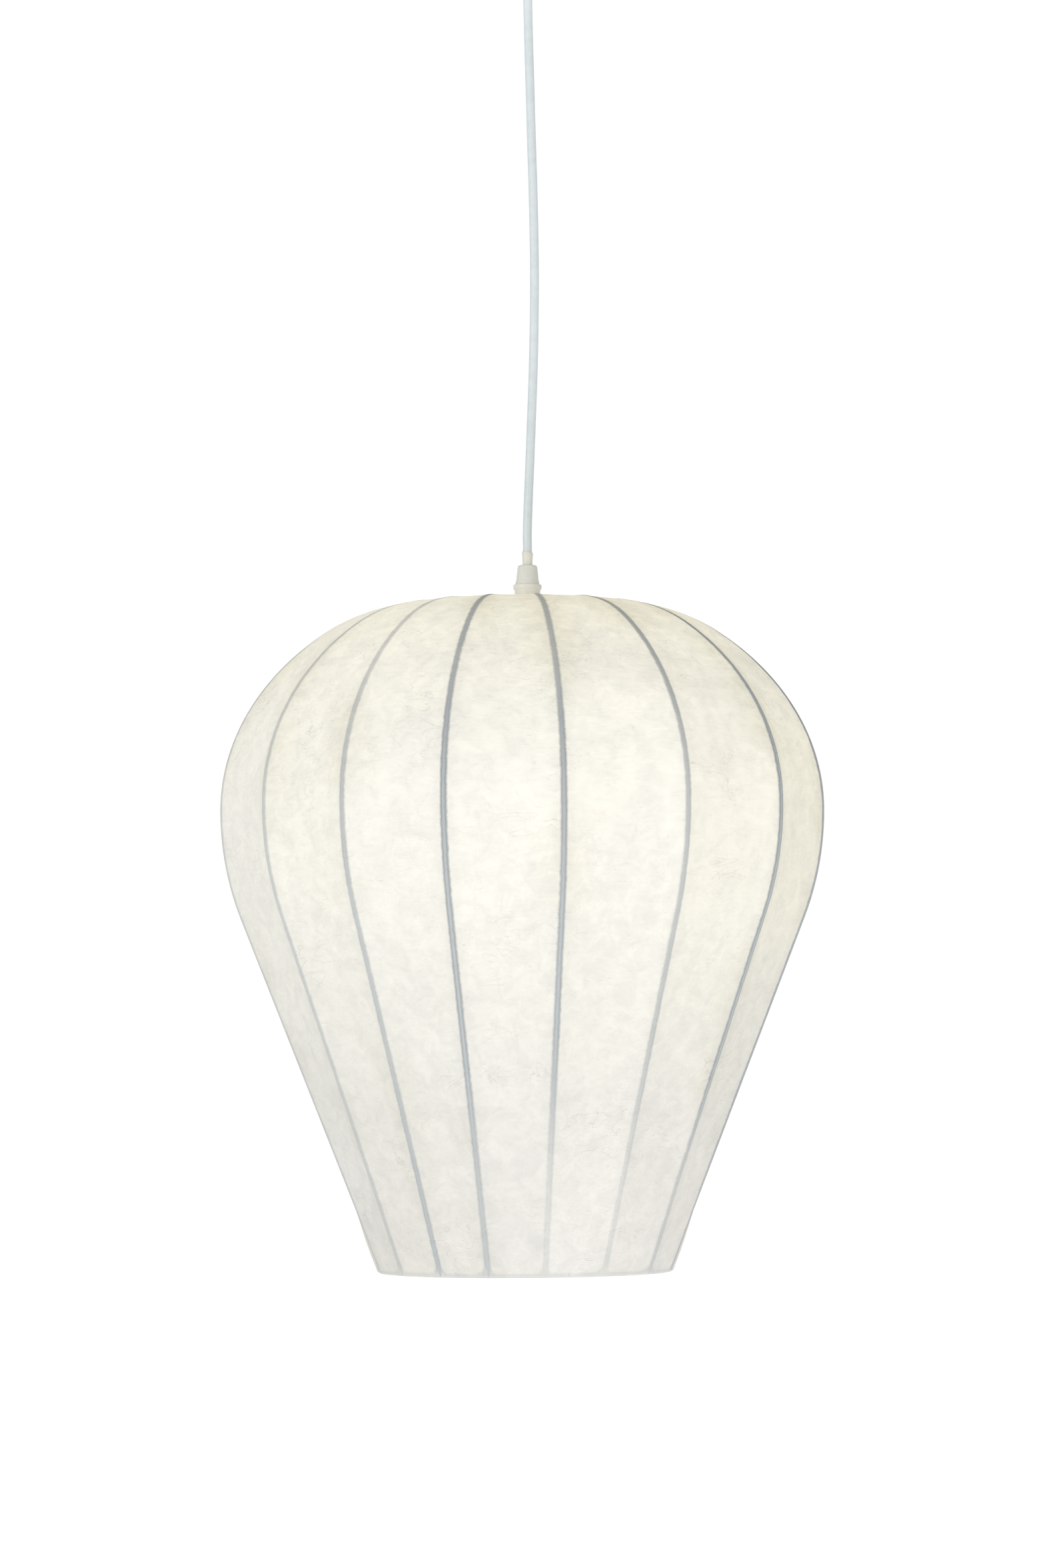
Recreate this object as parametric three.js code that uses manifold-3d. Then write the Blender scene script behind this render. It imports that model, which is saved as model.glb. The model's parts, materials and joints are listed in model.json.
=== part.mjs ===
// A balloon-shaped pendant lantern: pale non-woven silk paper drawn over sixteen wire ribs,
// hung on a round flex from a ceiling rose, with a screw-in lamp inside.
// Millimetres, +Z up. The origin is on the ceiling, straight above the lantern's axis,
// and the front faces -Y.
import * as THREE from 'three';
import { mergeVertices } from 'three/addons/utils/BufferGeometryUtils.js';
import Module from 'manifold-3d';

const wasm = await Module();
wasm.setup();

const gap = 0.3; // clearance between pieces that touch

// Lantern outline, measured on the outside of the paper at a rib
const equatorR = 202.5;
const equatorZ = -618.4;
const domeHeight = 156.3; // half axis of the dome's ellipse above the equator
const bellyR = 192; // radius of the arc below the equator
const taperAngle = THREE.MathUtils.degToRad(21.75); // straight lower cone, from the vertical
const crownZ = -480.5;
const shoulderR = 132; // where the dome starts to flatten towards the crown
const crownR = 75;
const crownDip = 3.5; // how far the shoulder's last bend lies under the crown
const crownMouthR = 68;
const rimZ = -920;

// Skin and frame
const paper = 0.8;
const ribCount = 16;
const ribWireR = 1.5;
const ringWireR = 1.9;
const bayHollow = 0.012; // how far a bay's middle is drawn in past flat, as a share of its radius
const ringReach = 70; // height over which the bays change from the rings' round to flat
const ribPitch = 360 / ribCount;
const firstRib = 9; // degrees to the right of the front
// The frame is bent and welded by hand, so each rib stands a few degrees off an even spacing.
// From the rib nearest the front, turning right.
const ribDrift = [-1.6, -0.6, 0.8, 0.3, 0.6, -0.4, 0.9, -0.7, 0.5, 1, 1.8, 3.2, 4.9, 4.1, 2.2, -0.4];

// The shade is fixed to its hub a little to the left, and leans back to the right below
const shadeShift = -4.7; // the crown's centre
const shadeLean = THREE.MathUtils.degToRad(-0.43);
const shadeFrame = new THREE.Matrix4().makeTranslation(shadeShift, 0, crownZ)
  .multiply(new THREE.Matrix4().makeRotationY(shadeLean))
  .multiply(new THREE.Matrix4().makeTranslation(0, 0, -crownZ));

// Flex
const flexR = 3.0;
const flexTop = -50; // the swing pivot, in the mouth of the rose's grip
// The flex hangs with a slight set to the right, as (sideways, height), from the rose down
const flexRoute = [
  [0, -50.4], [0.05, -58], [0.2, -70], [0.5, -85], [1.0, -105], [1.6, -125], [2.2, -148],
  [2.9, -172], [3.7, -198], [4.3, -225], [4.7, -252], [4.6, -280], [4.2, -306], [3.5, -332],
  [2.6, -356], [1.8, -378], [1.0, -398], [0.3, -416], [-0.1, -431], [0, -442], [0, -452], [0, -461],
];

// Cord grip and hub on top of the lantern
const sleeveTop = -443;
const capTop = -452.6;
const capBase = -465.6;
const collarBand = 2.3;
const hubZ = crownZ - ringWireR - 1.4; // mid-height of the frame's top ring and hub washer
const hubR = 23;
const hubThick = 1.6;
const nippleR = 5;

// Lampholder and lamp, hung under the hub
const holderTop = hubZ - hubThick / 2 - gap;
const holderR = 20;
const lampTop = holderTop - 43;
const lampTurns = 5;
const threadPitch = 3.629;

// Ceiling rose
const roseR = 50;
const roseDepth = 44;

const root = new THREE.Group();

const finishes = {
  paper: new THREE.MeshStandardMaterial({ color: 0xf1efe4, roughness: 0.85, side: THREE.DoubleSide }),
  wire: new THREE.MeshStandardMaterial({ color: 0xcfd3d4, roughness: 0.45, metalness: 0.2 }),
  flex: new THREE.MeshStandardMaterial({ color: 0xd4dbdb, roughness: 0.4 }),
  plastic: new THREE.MeshStandardMaterial({ color: 0xe2e0d4, roughness: 0.45 }),
  sleeve: new THREE.MeshStandardMaterial({ color: 0xdddbcb, roughness: 0.5 }),
  rubber: new THREE.MeshStandardMaterial({ color: 0xc9c9c2, roughness: 0.8 }),
  steel: new THREE.MeshStandardMaterial({ color: 0xb9bcbe, roughness: 0.35, metalness: 0.9 }),
  brass: new THREE.MeshStandardMaterial({ color: 0xc9a95c, roughness: 0.35, metalness: 1 }),
  ceramic: new THREE.MeshStandardMaterial({ color: 0xeeece4, roughness: 0.25 }),
  black: new THREE.MeshStandardMaterial({ color: 0x202124, roughness: 0.3 }),
  opal: new THREE.MeshStandardMaterial({ color: 0xfdf8ea, roughness: 0.3 }),
  copperBrown: new THREE.MeshStandardMaterial({ color: 0x7a4a2a, roughness: 0.4 }),
  coreBlue: new THREE.MeshStandardMaterial({ color: 0x3b6ea8, roughness: 0.4 }),
};

function place(name, geometry, finish) {
  const mesh = new THREE.Mesh(geometry, finishes[finish]);
  mesh.name = name;
  root.add(mesh);
  return mesh;
}

// A turned piece about Z. Its outline closes on itself, as [radius, height] pairs that run
// up the outside and down the inside.
function turned(outline, sides = 20) {
  const points = outline.map(([r, z]) => new THREE.Vector2(r, z));
  points.push(points[0].clone());
  const geometry = new THREE.LatheGeometry(points, sides);
  return geometry.rotateX(Math.PI / 2);
}

// A turned solid with no bore: the outline starts and ends on the axis, from the bottom up.
function turnedSolid(outline, sides = 20) {
  const points = outline.map(([r, z]) => new THREE.Vector2(r, z));
  return new THREE.LatheGeometry(points, sides).rotateX(Math.PI / 2);
}

// A round rod or wire along a curve
function rod(curve, radius, steps, sides = 8) {
  const section = new THREE.Shape();
  for (let i = 0; i < sides; i += 1) {
    const turn = (2 * Math.PI * (i + 0.5)) / sides;
    const x = radius * Math.cos(turn);
    const y = radius * Math.sin(turn);
    if (i === 0) section.moveTo(x, y);
    else section.lineTo(x, y);
  }
  section.closePath();
  return new THREE.ExtrudeGeometry(section, { steps, bevelEnabled: false, extrudePath: curve });
}

function solidOf(geometry) {
  const bare = geometry.clone();
  bare.deleteAttribute('normal');
  bare.deleteAttribute('uv');
  const merged = mergeVertices(bare.index ? bare.toNonIndexed() : bare, 1e-4);
  return new wasm.Manifold(new wasm.Mesh({
    numProp: 3,
    vertProperties: Float32Array.from(merged.attributes.position.array),
    triVerts: Uint32Array.from(merged.index.array),
  }));
}

function geometryOf(solid) {
  const mesh = solid.getMesh();
  const geometry = new THREE.BufferGeometry();
  geometry.setAttribute('position', new THREE.BufferAttribute(mesh.vertProperties, 3));
  geometry.setIndex(new THREE.BufferAttribute(mesh.triVerts, 1));
  return geometry;
}

// The paper's outer outline in a rib's plane, from the rim up to the crown's mouth
function skinOutline() {
  const points = [];
  const bellyX = equatorR - bellyR;
  const taperTopR = bellyX + bellyR * Math.cos(taperAngle);
  const taperTopZ = equatorZ - bellyR * Math.sin(taperAngle);
  const rimR = taperTopR - (taperTopZ - rimZ) * Math.tan(taperAngle);
  for (const t of [0, 0.025, 0.25, 0.5, 0.75, 1]) {
    points.push([rimR + (taperTopR - rimR) * t, rimZ + (taperTopZ - rimZ) * t]);
  }
  for (let i = 1; i <= 3; i += 1) {
    const turn = -taperAngle * (1 - i / 3);
    points.push([bellyX + bellyR * Math.cos(turn), equatorZ + bellyR * Math.sin(turn)]);
  }
  const domeEnd = Math.acos(shoulderR / equatorR);
  for (let i = 1; i <= 7; i += 1) {
    const turn = (domeEnd * i) / 7;
    points.push([equatorR * Math.cos(turn), equatorZ + domeHeight * Math.sin(turn)]);
  }
  const [endR, endZ] = points[points.length - 1];
  const slope = (domeHeight / equatorR) / Math.tan(domeEnd);
  const cornerZ = crownZ - crownDip;
  const cornerR = endR - (cornerZ - endZ) / slope;
  for (let i = 1; i <= 4; i += 1) {
    const t = i / 4;
    const s = 1 - t;
    points.push([
      s * s * endR + 2 * s * t * cornerR + t * t * crownR,
      s * s * endZ + 2 * s * t * cornerZ + t * t * crownZ,
    ]);
  }
  points.push([crownMouthR, crownZ - 0.2]);
  return points.map(([r, z]) => new THREE.Vector2(r, z));
}

// The same outline moved inwards by a depth
function inset(outline, depth) {
  return outline.map((point, i) => {
    const before = outline[Math.max(i - 1, 0)];
    const after = outline[Math.min(i + 1, outline.length - 1)];
    const along = after.clone().sub(before).normalize();
    return new THREE.Vector2(point.x - along.y * depth, point.y + along.x * depth);
  });
}

function ribTurn(i) {
  const k = (i + ribCount) % ribCount;
  const wrap = i >= ribCount ? 360 : 0;
  return THREE.MathUtils.degToRad(firstRib + ribPitch * k + ribDrift[k] + wrap);
}

// How far a bay's middle is drawn in at a height, from 0 at the round rings to 1 between them
function slack(z) {
  const fromRim = THREE.MathUtils.smoothstep(z, rimZ + 7, rimZ + ringReach);
  const fromCrown = 1 - THREE.MathUtils.smoothstep(z, crownZ - ringReach / 4, crownZ - 1);
  return fromRim * fromCrown;
}

// A point at a radius and height, at a turn to the right of the front
function around(turn, r, z) {
  return new THREE.Vector3(r * Math.sin(turn), -r * Math.cos(turn), z);
}

// Frame
const outline = skinOutline();
const ribLine = inset(outline, paper + 2 * gap + ribWireR);
const topRingR = crownMouthR + ringWireR + 1.1;
const rimRingZ = rimZ + ringWireR + 0.6;
const rimRingR = outline[0].x - paper - gap - ringWireR;

// A rib is cut off square just outside the top ring and just above the rim ring.
function ribGeometry(turn) {
  const top = topRingR + ringWireR + gap;
  const foot = rimRingZ + ringWireR + gap + 0.4;
  const kept = ribLine.filter((p) => p.x > top + 3 && p.y > foot + 4);
  const footR = ribLine[0].x + (foot - ribLine[0].y) * Math.tan(taperAngle);
  const path = [new THREE.Vector2(footR, foot), ...kept];
  path.push(new THREE.Vector2(top, kept[kept.length - 1].y));
  const points = path.map((p) => around(turn, p.x, p.y));
  return rod(new THREE.CatmullRomCurve3(points, false, 'centripetal'), ribWireR, 22, 6);
}

for (let i = 0; i < ribCount; i += 1) {
  place(`rib_${String(i + 1).padStart(2, '0')}`, ribGeometry(ribTurn(i)).applyMatrix4(shadeFrame), 'wire');
}

function ring(name, radius, z, wireR, sides) {
  const torus = new THREE.TorusGeometry(radius, wireR, 6, sides);
  place(name, torus.translate(0, 0, z).applyMatrix4(shadeFrame), 'wire');
}
ring('top_ring', topRingR, hubZ, ringWireR, 32);
ring('rim_ring', rimRingR, rimRingZ, ringWireR, 40);

// Four spokes carry the hub washer inside the top ring.
for (let i = 0; i < 4; i += 1) {
  const turn = Math.PI / 4 + (Math.PI / 2) * i;
  const inner = around(turn, hubR + gap, hubZ);
  const outer = around(turn, topRingR - ringWireR - gap, hubZ).applyMatrix4(shadeFrame);
  place(`spoke_${i + 1}`, rod(new THREE.LineCurve3(inner, outer), ribWireR, 1, 8), 'wire');
}

place('hub_washer', turned([
  [nippleR + gap, hubZ - hubThick / 2], [hubR, hubZ - hubThick / 2],
  [hubR, hubZ + hubThick / 2], [nippleR + gap, hubZ + hubThick / 2],
], 24), 'wire');

// Skin: one closed wall, flat from rib to rib and slightly drawn in between them
function skinGeometry() {
  const columns = ribCount * 2;
  const inner = inset(outline, paper);
  const positions = [];
  const rows = outline.length;
  for (const wall of [outline, inner]) {
    for (let j = 0; j < rows; j += 1) {
      for (let c = 0; c < columns; c += 1) {
        const i = Math.floor(c / 2);
        const left = ribTurn(i);
        const right = ribTurn(i + 1);
        const onRib = c % 2 === 0;
        const turn = onRib ? left : (left + right) / 2;
        const flat = Math.cos((right - left) / 2) * (1 - bayHollow);
        const draw = onRib ? 1 : THREE.MathUtils.lerp(1, flat, slack(wall[j].y));
        const p = around(turn, wall[j].x * draw, wall[j].y);
        positions.push(p.x, p.y, p.z);
      }
    }
  }
  const index = [];
  const at = (wall, j, c) => (wall * rows + j) * columns + (c % columns);
  const quad = (a, b, c, d) => index.push(a, b, c, a, c, d);
  for (let c = 0; c < columns; c += 1) {
    for (let j = 0; j + 1 < rows; j += 1) {
      quad(at(0, j, c), at(0, j, c + 1), at(0, j + 1, c + 1), at(0, j + 1, c));
      quad(at(1, j, c), at(1, j + 1, c), at(1, j + 1, c + 1), at(1, j, c + 1));
    }
    quad(at(1, 0, c), at(1, 0, c + 1), at(0, 0, c + 1), at(0, 0, c));
    quad(at(0, rows - 1, c), at(0, rows - 1, c + 1), at(1, rows - 1, c + 1), at(1, rows - 1, c));
  }
  const geometry = new THREE.BufferGeometry();
  geometry.setAttribute('position', new THREE.Float32BufferAttribute(positions, 3));
  geometry.setIndex(index);
  return geometry;
}
place('paper_skin', skinGeometry().applyMatrix4(shadeFrame), 'paper');

// Flex and its sleeve
const flexCurve = new THREE.CatmullRomCurve3(
  flexRoute.map(([x, z]) => new THREE.Vector3(x, 0, z)), false, 'centripetal');
place('pendant_flex', rod(flexCurve, flexR, 34, 8), 'flex');

place('flex_sleeve', turned([
  [flexR + gap, capTop + gap], [flexR + 0.75, capTop + gap], [flexR + 0.95, sleeveTop - 4],
  [flexR + 1.05, sleeveTop], [flexR + gap, sleeveTop],
]), 'sleeve');

// Cord grip: a tapered cap on a flared collar, whose neck goes down to the hub washer
const gripBore = flexR + 0.5;
place('grip_cap', turned([
  [gripBore, capBase + gap], [7.9, capBase + gap], [7.3, capBase + 3.4], [6.45, capTop - 1],
  [5.8, capTop], [gripBore, capTop],
]), 'plastic');

const neckBottom = hubZ + hubThick / 2 + gap;
place('neck_collar', turned([
  [nippleR + gap, neckBottom], [8.1, neckBottom], [8.5, capBase - collarBand - 1.6],
  [9.35, capBase - collarBand], [9.35, capBase], [nippleR + gap, capBase],
]), 'plastic');

place('hub_nipple', turned([
  [3.6, holderTop - 14], [nippleR, holderTop - 14], [nippleR, capBase - 0.6],
  [3.6, capBase - 0.6],
], 20), 'brass');

// Lampholder
place('holder_cap', turned([
  [nippleR + gap, holderTop - 2.4], [holderR - 4, holderTop - 15], [holderR - 2, holderTop - 24],
  [holderR, holderTop - 24], [holderR, holderTop - 18], [holderR - 3, holderTop - 9],
  [9.5, holderTop], [nippleR + gap, holderTop],
]), 'plastic');

const bodyTop = holderTop - 24 - gap;
const bodyBottom = bodyTop - 44;
place('holder_body', turned([
  [holderR - 3.4, bodyBottom], [holderR - 1.4, bodyBottom], [holderR - 1.4, bodyTop - 6],
  [holderR, bodyTop - 5], [holderR, bodyTop], [holderR - 3.4, bodyTop],
]), 'plastic');

place('holder_insert', turnedSolid([
  [0, bodyTop - 14], [holderR - 3.7, bodyTop - 14], [holderR - 3.7, bodyTop - 4],
  [holderR - 9, bodyTop - 4], [holderR - 9, bodyTop - 1], [0, bodyTop - 1],
]), 'ceramic');

const shellTop = bodyTop - 14 - gap;
place('screw_shell', turned([
  [13.9, shellTop - 24], [14.6, shellTop - 24], [14.6, shellTop], [13.9, shellTop],
]), 'brass');

// The middle contact is a sprung tongue, folded back under the insert.
const tongueDrop = 4;
const tongue = new THREE.Shape([
  [-5, 0], [-5, -0.6], [2.9, -0.6], [4, -1.8], [2.9, -2.9], [-3, 0.6 - tongueDrop],
  [-3, -tongueDrop], [3.2, -3.5], [4.8, -1.8], [3.2, 0],
].map(([x, z]) => new THREE.Vector2(x, shellTop + z)));
const contactWidth = 5;
const contact = new THREE.ExtrudeGeometry(tongue, { depth: contactWidth, bevelEnabled: false });
contact.rotateX(Math.PI / 2).translate(0, contactWidth / 2, 0);
place('middle_contact', contact, 'brass');

// Lamp: a bulb with a screw cap, a light plastic body and an opal dome
const footTop = shellTop - tongueDrop - gap;
place('lamp_foot_contact', turnedSolid([
  [0, footTop - 2], [5, footTop - 2], [5, footTop - 0.8], [3.6, footTop], [0, footTop],
]), 'brass');
place('lamp_insulator', turnedSolid([
  [0, footTop - 5], [11.4, footTop - 5], [9, footTop - 3.6], [6.4, footTop - 2.3],
  [0, footTop - 2.3],
]), 'black');
const capShellTop = footTop - 5.3;
place('lamp_cap', turned([
  [12.2, capShellTop - 20], [13, capShellTop - 20], [13, capShellTop - 1],
  [11.8, capShellTop], [11, capShellTop], [12.2, capShellTop - 1.6],
]), 'brass');
const lampBodyTop = capShellTop - 20.3;
const lampBodyBase = lampBodyTop - 32;
place('lamp_body', turned([
  [26.6, lampBodyBase], [28.4, lampBodyBase], [27.6, lampBodyBase + 8], [21.5, lampBodyBase + 20],
  [15.5, lampBodyTop - 2], [13.2, lampBodyTop], [11.6, lampBodyTop], [13.9, lampBodyTop - 3],
  [19.9, lampBodyBase + 20], [25.8, lampBodyBase + 8],
]), 'ceramic');
place('led_board', turnedSolid([
  [0, lampBodyBase + 2.6], [24.4, lampBodyBase + 2.6], [24.4, lampBodyBase + 4.2],
  [0, lampBodyBase + 4.2],
]), 'steel');

// The opal dome is a thin shell, open where it sits on the body.
function domeOutline(radius, shift) {
  const points = [];
  const first = -THREE.MathUtils.degToRad(22);
  const last = Math.PI / 2;
  for (let i = 0; i <= 7; i += 1) {
    const turn = first + ((last - first) * i) / 7;
    points.push([Math.max(radius * Math.cos(turn), 0), shift - radius * Math.sin(turn)]);
  }
  return points;
}
const domeR = 30.6;
const domeCentre = lampBodyBase - gap - domeR * Math.sin(THREE.MathUtils.degToRad(22));
const domeWall = 1.4;
const outerDome = domeOutline(domeR, domeCentre);
const innerDome = domeOutline(domeR - domeWall, domeCentre);
place('lamp_dome', turnedSolid([...outerDome.reverse(), ...innerDome]), 'opal');

// Ceiling rose: a steel strap with turned-down ears, a cup held by two side screws,
// and a grip in whose mouth the flex swings on a rubber bush
const strapHalf = 45.4;
const strapThick = 1.5;
const earDrop = 15;
const strapWidth = 18;
const strapOutline = new THREE.Shape();
strapOutline.moveTo(-strapHalf, 0);
strapOutline.lineTo(-strapHalf, -earDrop);
strapOutline.lineTo(-strapHalf + strapThick, -earDrop);
strapOutline.lineTo(-strapHalf + strapThick, -strapThick);
strapOutline.lineTo(strapHalf - strapThick, -strapThick);
strapOutline.lineTo(strapHalf - strapThick, -earDrop);
strapOutline.lineTo(strapHalf, -earDrop);
strapOutline.lineTo(strapHalf, 0);
strapOutline.closePath();
const strap = new THREE.ExtrudeGeometry(strapOutline, { depth: strapWidth, bevelEnabled: false });
strap.rotateX(Math.PI / 2).translate(0, strapWidth / 2, 0);
const slotHalf = 5;
const slotR = 2.3;
let strapSolid = solidOf(strap);
for (const side of [-1, 1]) {
  const slot = new THREE.Shape();
  slot.absarc(slotHalf, 0, slotR, -Math.PI / 2, Math.PI / 2, false);
  slot.absarc(-slotHalf, 0, slotR, Math.PI / 2, (3 * Math.PI) / 2, false);
  slot.closePath();
  const cutter = new THREE.ExtrudeGeometry(slot, { depth: 6, bevelEnabled: false, curveSegments: 6 });
  cutter.translate(side * 26, 0, -4);
  strapSolid = strapSolid.subtract(solidOf(cutter));
}
place('ceiling_strap', geometryOf(strapSolid), 'steel');

const coverTop = -0.5;
const coverBottom = -roseDepth;
const coverWall = 2;
const coverBore = 8.3;
const cover = turned([
  [coverBore, coverBottom], [30, coverBottom], [39, coverBottom + 3], [44.5, coverBottom + 10],
  [48.4, coverTop - 14], [roseR, coverTop - 2], [roseR, coverTop], [roseR - coverWall, coverTop],
  [46.5, coverTop - 14], [42.6, coverBottom + 11], [37.8, coverBottom + 5], [30, coverBottom + 2],
  [coverBore, coverBottom + 2],
], 28);
const screwZ = -8;
const screwShaftR = 1.5;
const screwHole = new THREE.CylinderGeometry(screwShaftR + gap, screwShaftR + gap, 2 * roseR + 20, 12);
screwHole.rotateZ(Math.PI / 2).translate(0, 0, screwZ);
place('rose_cover', geometryOf(solidOf(cover).subtract(solidOf(screwHole))), 'plastic');

for (const [name, side] of [['cover_screw_left', -1], ['cover_screw_right', 1]]) {
  const shaftLength = roseR + gap - (strapHalf + gap);
  const screw = turnedSolid([
    [0, 0], [screwShaftR, 0], [screwShaftR, shaftLength], [3, shaftLength],
    [2.8, shaftLength + 1.4], [1.8, shaftLength + 2], [0, shaftLength + 2],
  ], 12);
  screw.rotateY((side * Math.PI) / 2).translate(side * (strapHalf + gap), 0, screwZ);
  place(name, screw, 'steel');
}

const gripTop = coverBottom + 9;
const gripLip = coverBottom - gap;
const gripBottom = -56;
place('rose_grip', turned([
  [5.6, gripBottom], [7.6, gripBottom], [9.6, gripBottom + 3], [11, gripLip],
  [8, gripLip], [8, gripTop], [6.2, gripTop], [6.2, flexTop - 0.4], [4.9, flexTop - 1.6],
]), 'plastic');
// The bush is a rubber dome round the swing pivot, so it turns inside the grip with room.
place('rose_bush', turnedSolid([
  [0, flexTop + 1.6], [5.3, flexTop + 1.6], [4.5, flexTop + 3.3], [3.5, flexTop + 4.3],
  [2, flexTop + 5.2], [0, flexTop + 5.6],
], 20), 'rubber');

// Inside the rose the flex's tail goes up to a two-way terminal block.
const tailBottom = flexTop + 6.2;
const tailTop = flexTop + 20.3;
const tail = new THREE.LineCurve3(
  new THREE.Vector3(0, 0, tailBottom), new THREE.Vector3(0, 0, tailTop));
place('flex_tail', rod(tail, flexR, 1, 10), 'flex');

const blockTop = -strapThick - gap;
const blockHeight = 11;
const blockBottom = blockTop - blockHeight;
const block = new THREE.BoxGeometry(20, 13, blockHeight);
block.translate(0, 0, blockTop - blockHeight / 2);
const wayOffset = 5;
let blockSolid = solidOf(block);
for (const side of [-1, 1]) {
  const well = new THREE.CylinderGeometry(2.3, 2.3, 6, 12);
  well.translate(side * wayOffset, -6.5, blockTop - blockHeight / 2);
  const entry = new THREE.CylinderGeometry(1.6, 1.6, 8, 12);
  entry.rotateX(Math.PI / 2).translate(side * wayOffset, 0, blockBottom);
  blockSolid = blockSolid.subtract(solidOf(well)).subtract(solidOf(entry));
}
place('terminal_block', geometryOf(blockSolid), 'ceramic');

for (const [name, side, finish] of [['core_live', -1, 'copperBrown'], ['core_neutral', 1, 'coreBlue']]) {
  const x = side * wayOffset;
  const core = new THREE.CatmullRomCurve3([
    new THREE.Vector3(side * 1.4, 0, tailTop + gap), new THREE.Vector3(side * 1.6, 0, tailTop + 2),
    new THREE.Vector3(x, 0, blockBottom - 2), new THREE.Vector3(x, 0, blockBottom + 2),
  ]);
  place(name, rod(core, 1.1, 6, 8), finish);
  const terminal = turnedSolid([
    [0, 0], [1.9, 0], [1.9, 2.6], [0, 2.6],
  ], 12);
  terminal.rotateX(Math.PI / 2).translate(x, -3.8, blockTop - blockHeight / 2);
  place(name.replace('core', 'terminal_screw'), terminal, 'brass');
}

export default root;
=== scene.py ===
# Paper pendant lantern: paper skin, wire frame, flex, lampholder, lamp and ceiling rose,
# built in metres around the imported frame.
import json
import math

import bmesh
import bpy
from mathutils import Matrix, Vector, noise


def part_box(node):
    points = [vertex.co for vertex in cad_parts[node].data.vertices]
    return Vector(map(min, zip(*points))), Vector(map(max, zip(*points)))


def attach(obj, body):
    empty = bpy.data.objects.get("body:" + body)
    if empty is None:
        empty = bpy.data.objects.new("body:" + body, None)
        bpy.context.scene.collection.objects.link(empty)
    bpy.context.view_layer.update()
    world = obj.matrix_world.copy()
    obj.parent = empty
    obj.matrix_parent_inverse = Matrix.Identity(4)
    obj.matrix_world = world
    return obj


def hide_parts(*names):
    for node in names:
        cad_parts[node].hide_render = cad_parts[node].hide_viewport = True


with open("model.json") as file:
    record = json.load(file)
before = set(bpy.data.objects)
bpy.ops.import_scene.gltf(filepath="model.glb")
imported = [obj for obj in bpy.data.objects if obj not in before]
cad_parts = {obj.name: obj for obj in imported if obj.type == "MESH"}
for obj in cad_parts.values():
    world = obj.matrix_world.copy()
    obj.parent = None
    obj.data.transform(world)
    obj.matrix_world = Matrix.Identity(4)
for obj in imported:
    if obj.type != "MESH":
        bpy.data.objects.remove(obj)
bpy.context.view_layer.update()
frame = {"nodes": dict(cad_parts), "record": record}
nodes = frame["nodes"]
scene = bpy.context.scene
print("frame loaded:", len(nodes), "nodes")


view = {
    "distance": 2.8,
    "across": -0.0033,
    "eyeHeight": -0.8,   # level with the lower third of the lantern
    "tiltUp": 4.12,      # degrees
    "lens": 97.2,
    "farthest": 60,
    "floorHeight": -7.0,   # well below, so that it can be looked at from beneath
    "floorHalf": 60,
}


def newObject(name, data):
    thing = bpy.data.objects.new(name, data)
    scene.collection.objects.link(thing)
    return thing


def makeCamera():
    data = bpy.data.cameras.new("camera")
    data.lens = view["lens"]
    data.clip_end = view["farthest"]
    camera = newObject("camera", data)
    camera.location = (view["across"], -view["distance"], view["eyeHeight"])
    camera.rotation_euler = (math.radians(90 + view["tiltUp"]), 0, 0)
    bpy.context.scene.camera = camera


def addNode(tree, kind, **settings):
    node = tree.nodes.new(kind)
    for key, value in settings.items():
        setattr(node, key, value)
    return node


def fill(node, **values):
    # sets a node's inputs by their shown names
    for key, value in values.items():
        node.inputs[key.replace("_", " ")].default_value = value
    return node


studio = {
    "above": (0.39, 0.39, 0.385),    # what the upper half of the room gives
    "below": (0.92, 0.92, 0.91),     # the pale floor's bounce
    # place, what it is aimed at, size across and power
    "key": ((-2.4, -2.2, -0.5), (0, 0, -0.7), 1.6, 27),
    "fill": ((2.2, -2.6, -0.9), (0, 0, -0.7), 2.0, 14),
    "lowFill": ((0.75, -1.25, -1.95), (0.05, 0, -0.82), 0.9, 5),
}


def makeSky():
    # plain white behind everything; the light comes from a room that is brighter below
    world = bpy.data.worlds.new("studio")
    scene.world = world
    world.use_nodes = True
    tree = world.node_tree
    tree.nodes.clear()
    coord = addNode(tree, "ShaderNodeTexCoord")
    split = addNode(tree, "ShaderNodeSeparateXYZ")
    height = fill(addNode(tree, "ShaderNodeMapRange", interpolation_type="SMOOTHSTEP"),
                  From_Min=-0.7, From_Max=0.5)
    room = addNode(tree, "ShaderNodeMix", data_type="RGBA")
    room.inputs[6].default_value = (*studio["below"], 1)
    room.inputs[7].default_value = (*studio["above"], 1)
    path = addNode(tree, "ShaderNodeLightPath")
    seen = addNode(tree, "ShaderNodeMix", data_type="RGBA")
    seen.inputs[7].default_value = (1.05, 1.05, 1.05, 1)
    background = addNode(tree, "ShaderNodeBackground")
    out = addNode(tree, "ShaderNodeOutputWorld")
    link = tree.links.new
    link(coord.outputs["Generated"], split.inputs[0])
    link(split.outputs["Z"], height.inputs["Value"])
    link(height.outputs[0], room.inputs[0])
    link(room.outputs[2], seen.inputs[6])
    link(path.outputs["Is Camera Ray"], seen.inputs[0])
    link(seen.outputs[2], background.inputs["Color"])
    link(background.outputs[0], out.inputs["Surface"])


def areaLight(name, place, aim, size, power):
    data = bpy.data.lights.new(name, "AREA")
    data.shape = "DISK"
    data.size = size
    data.energy = power
    light = newObject(name, data)
    light.location = place
    light.rotation_euler = (Vector(aim) - Vector(place)).to_track_quat("-Z", "Y").to_euler()


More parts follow.
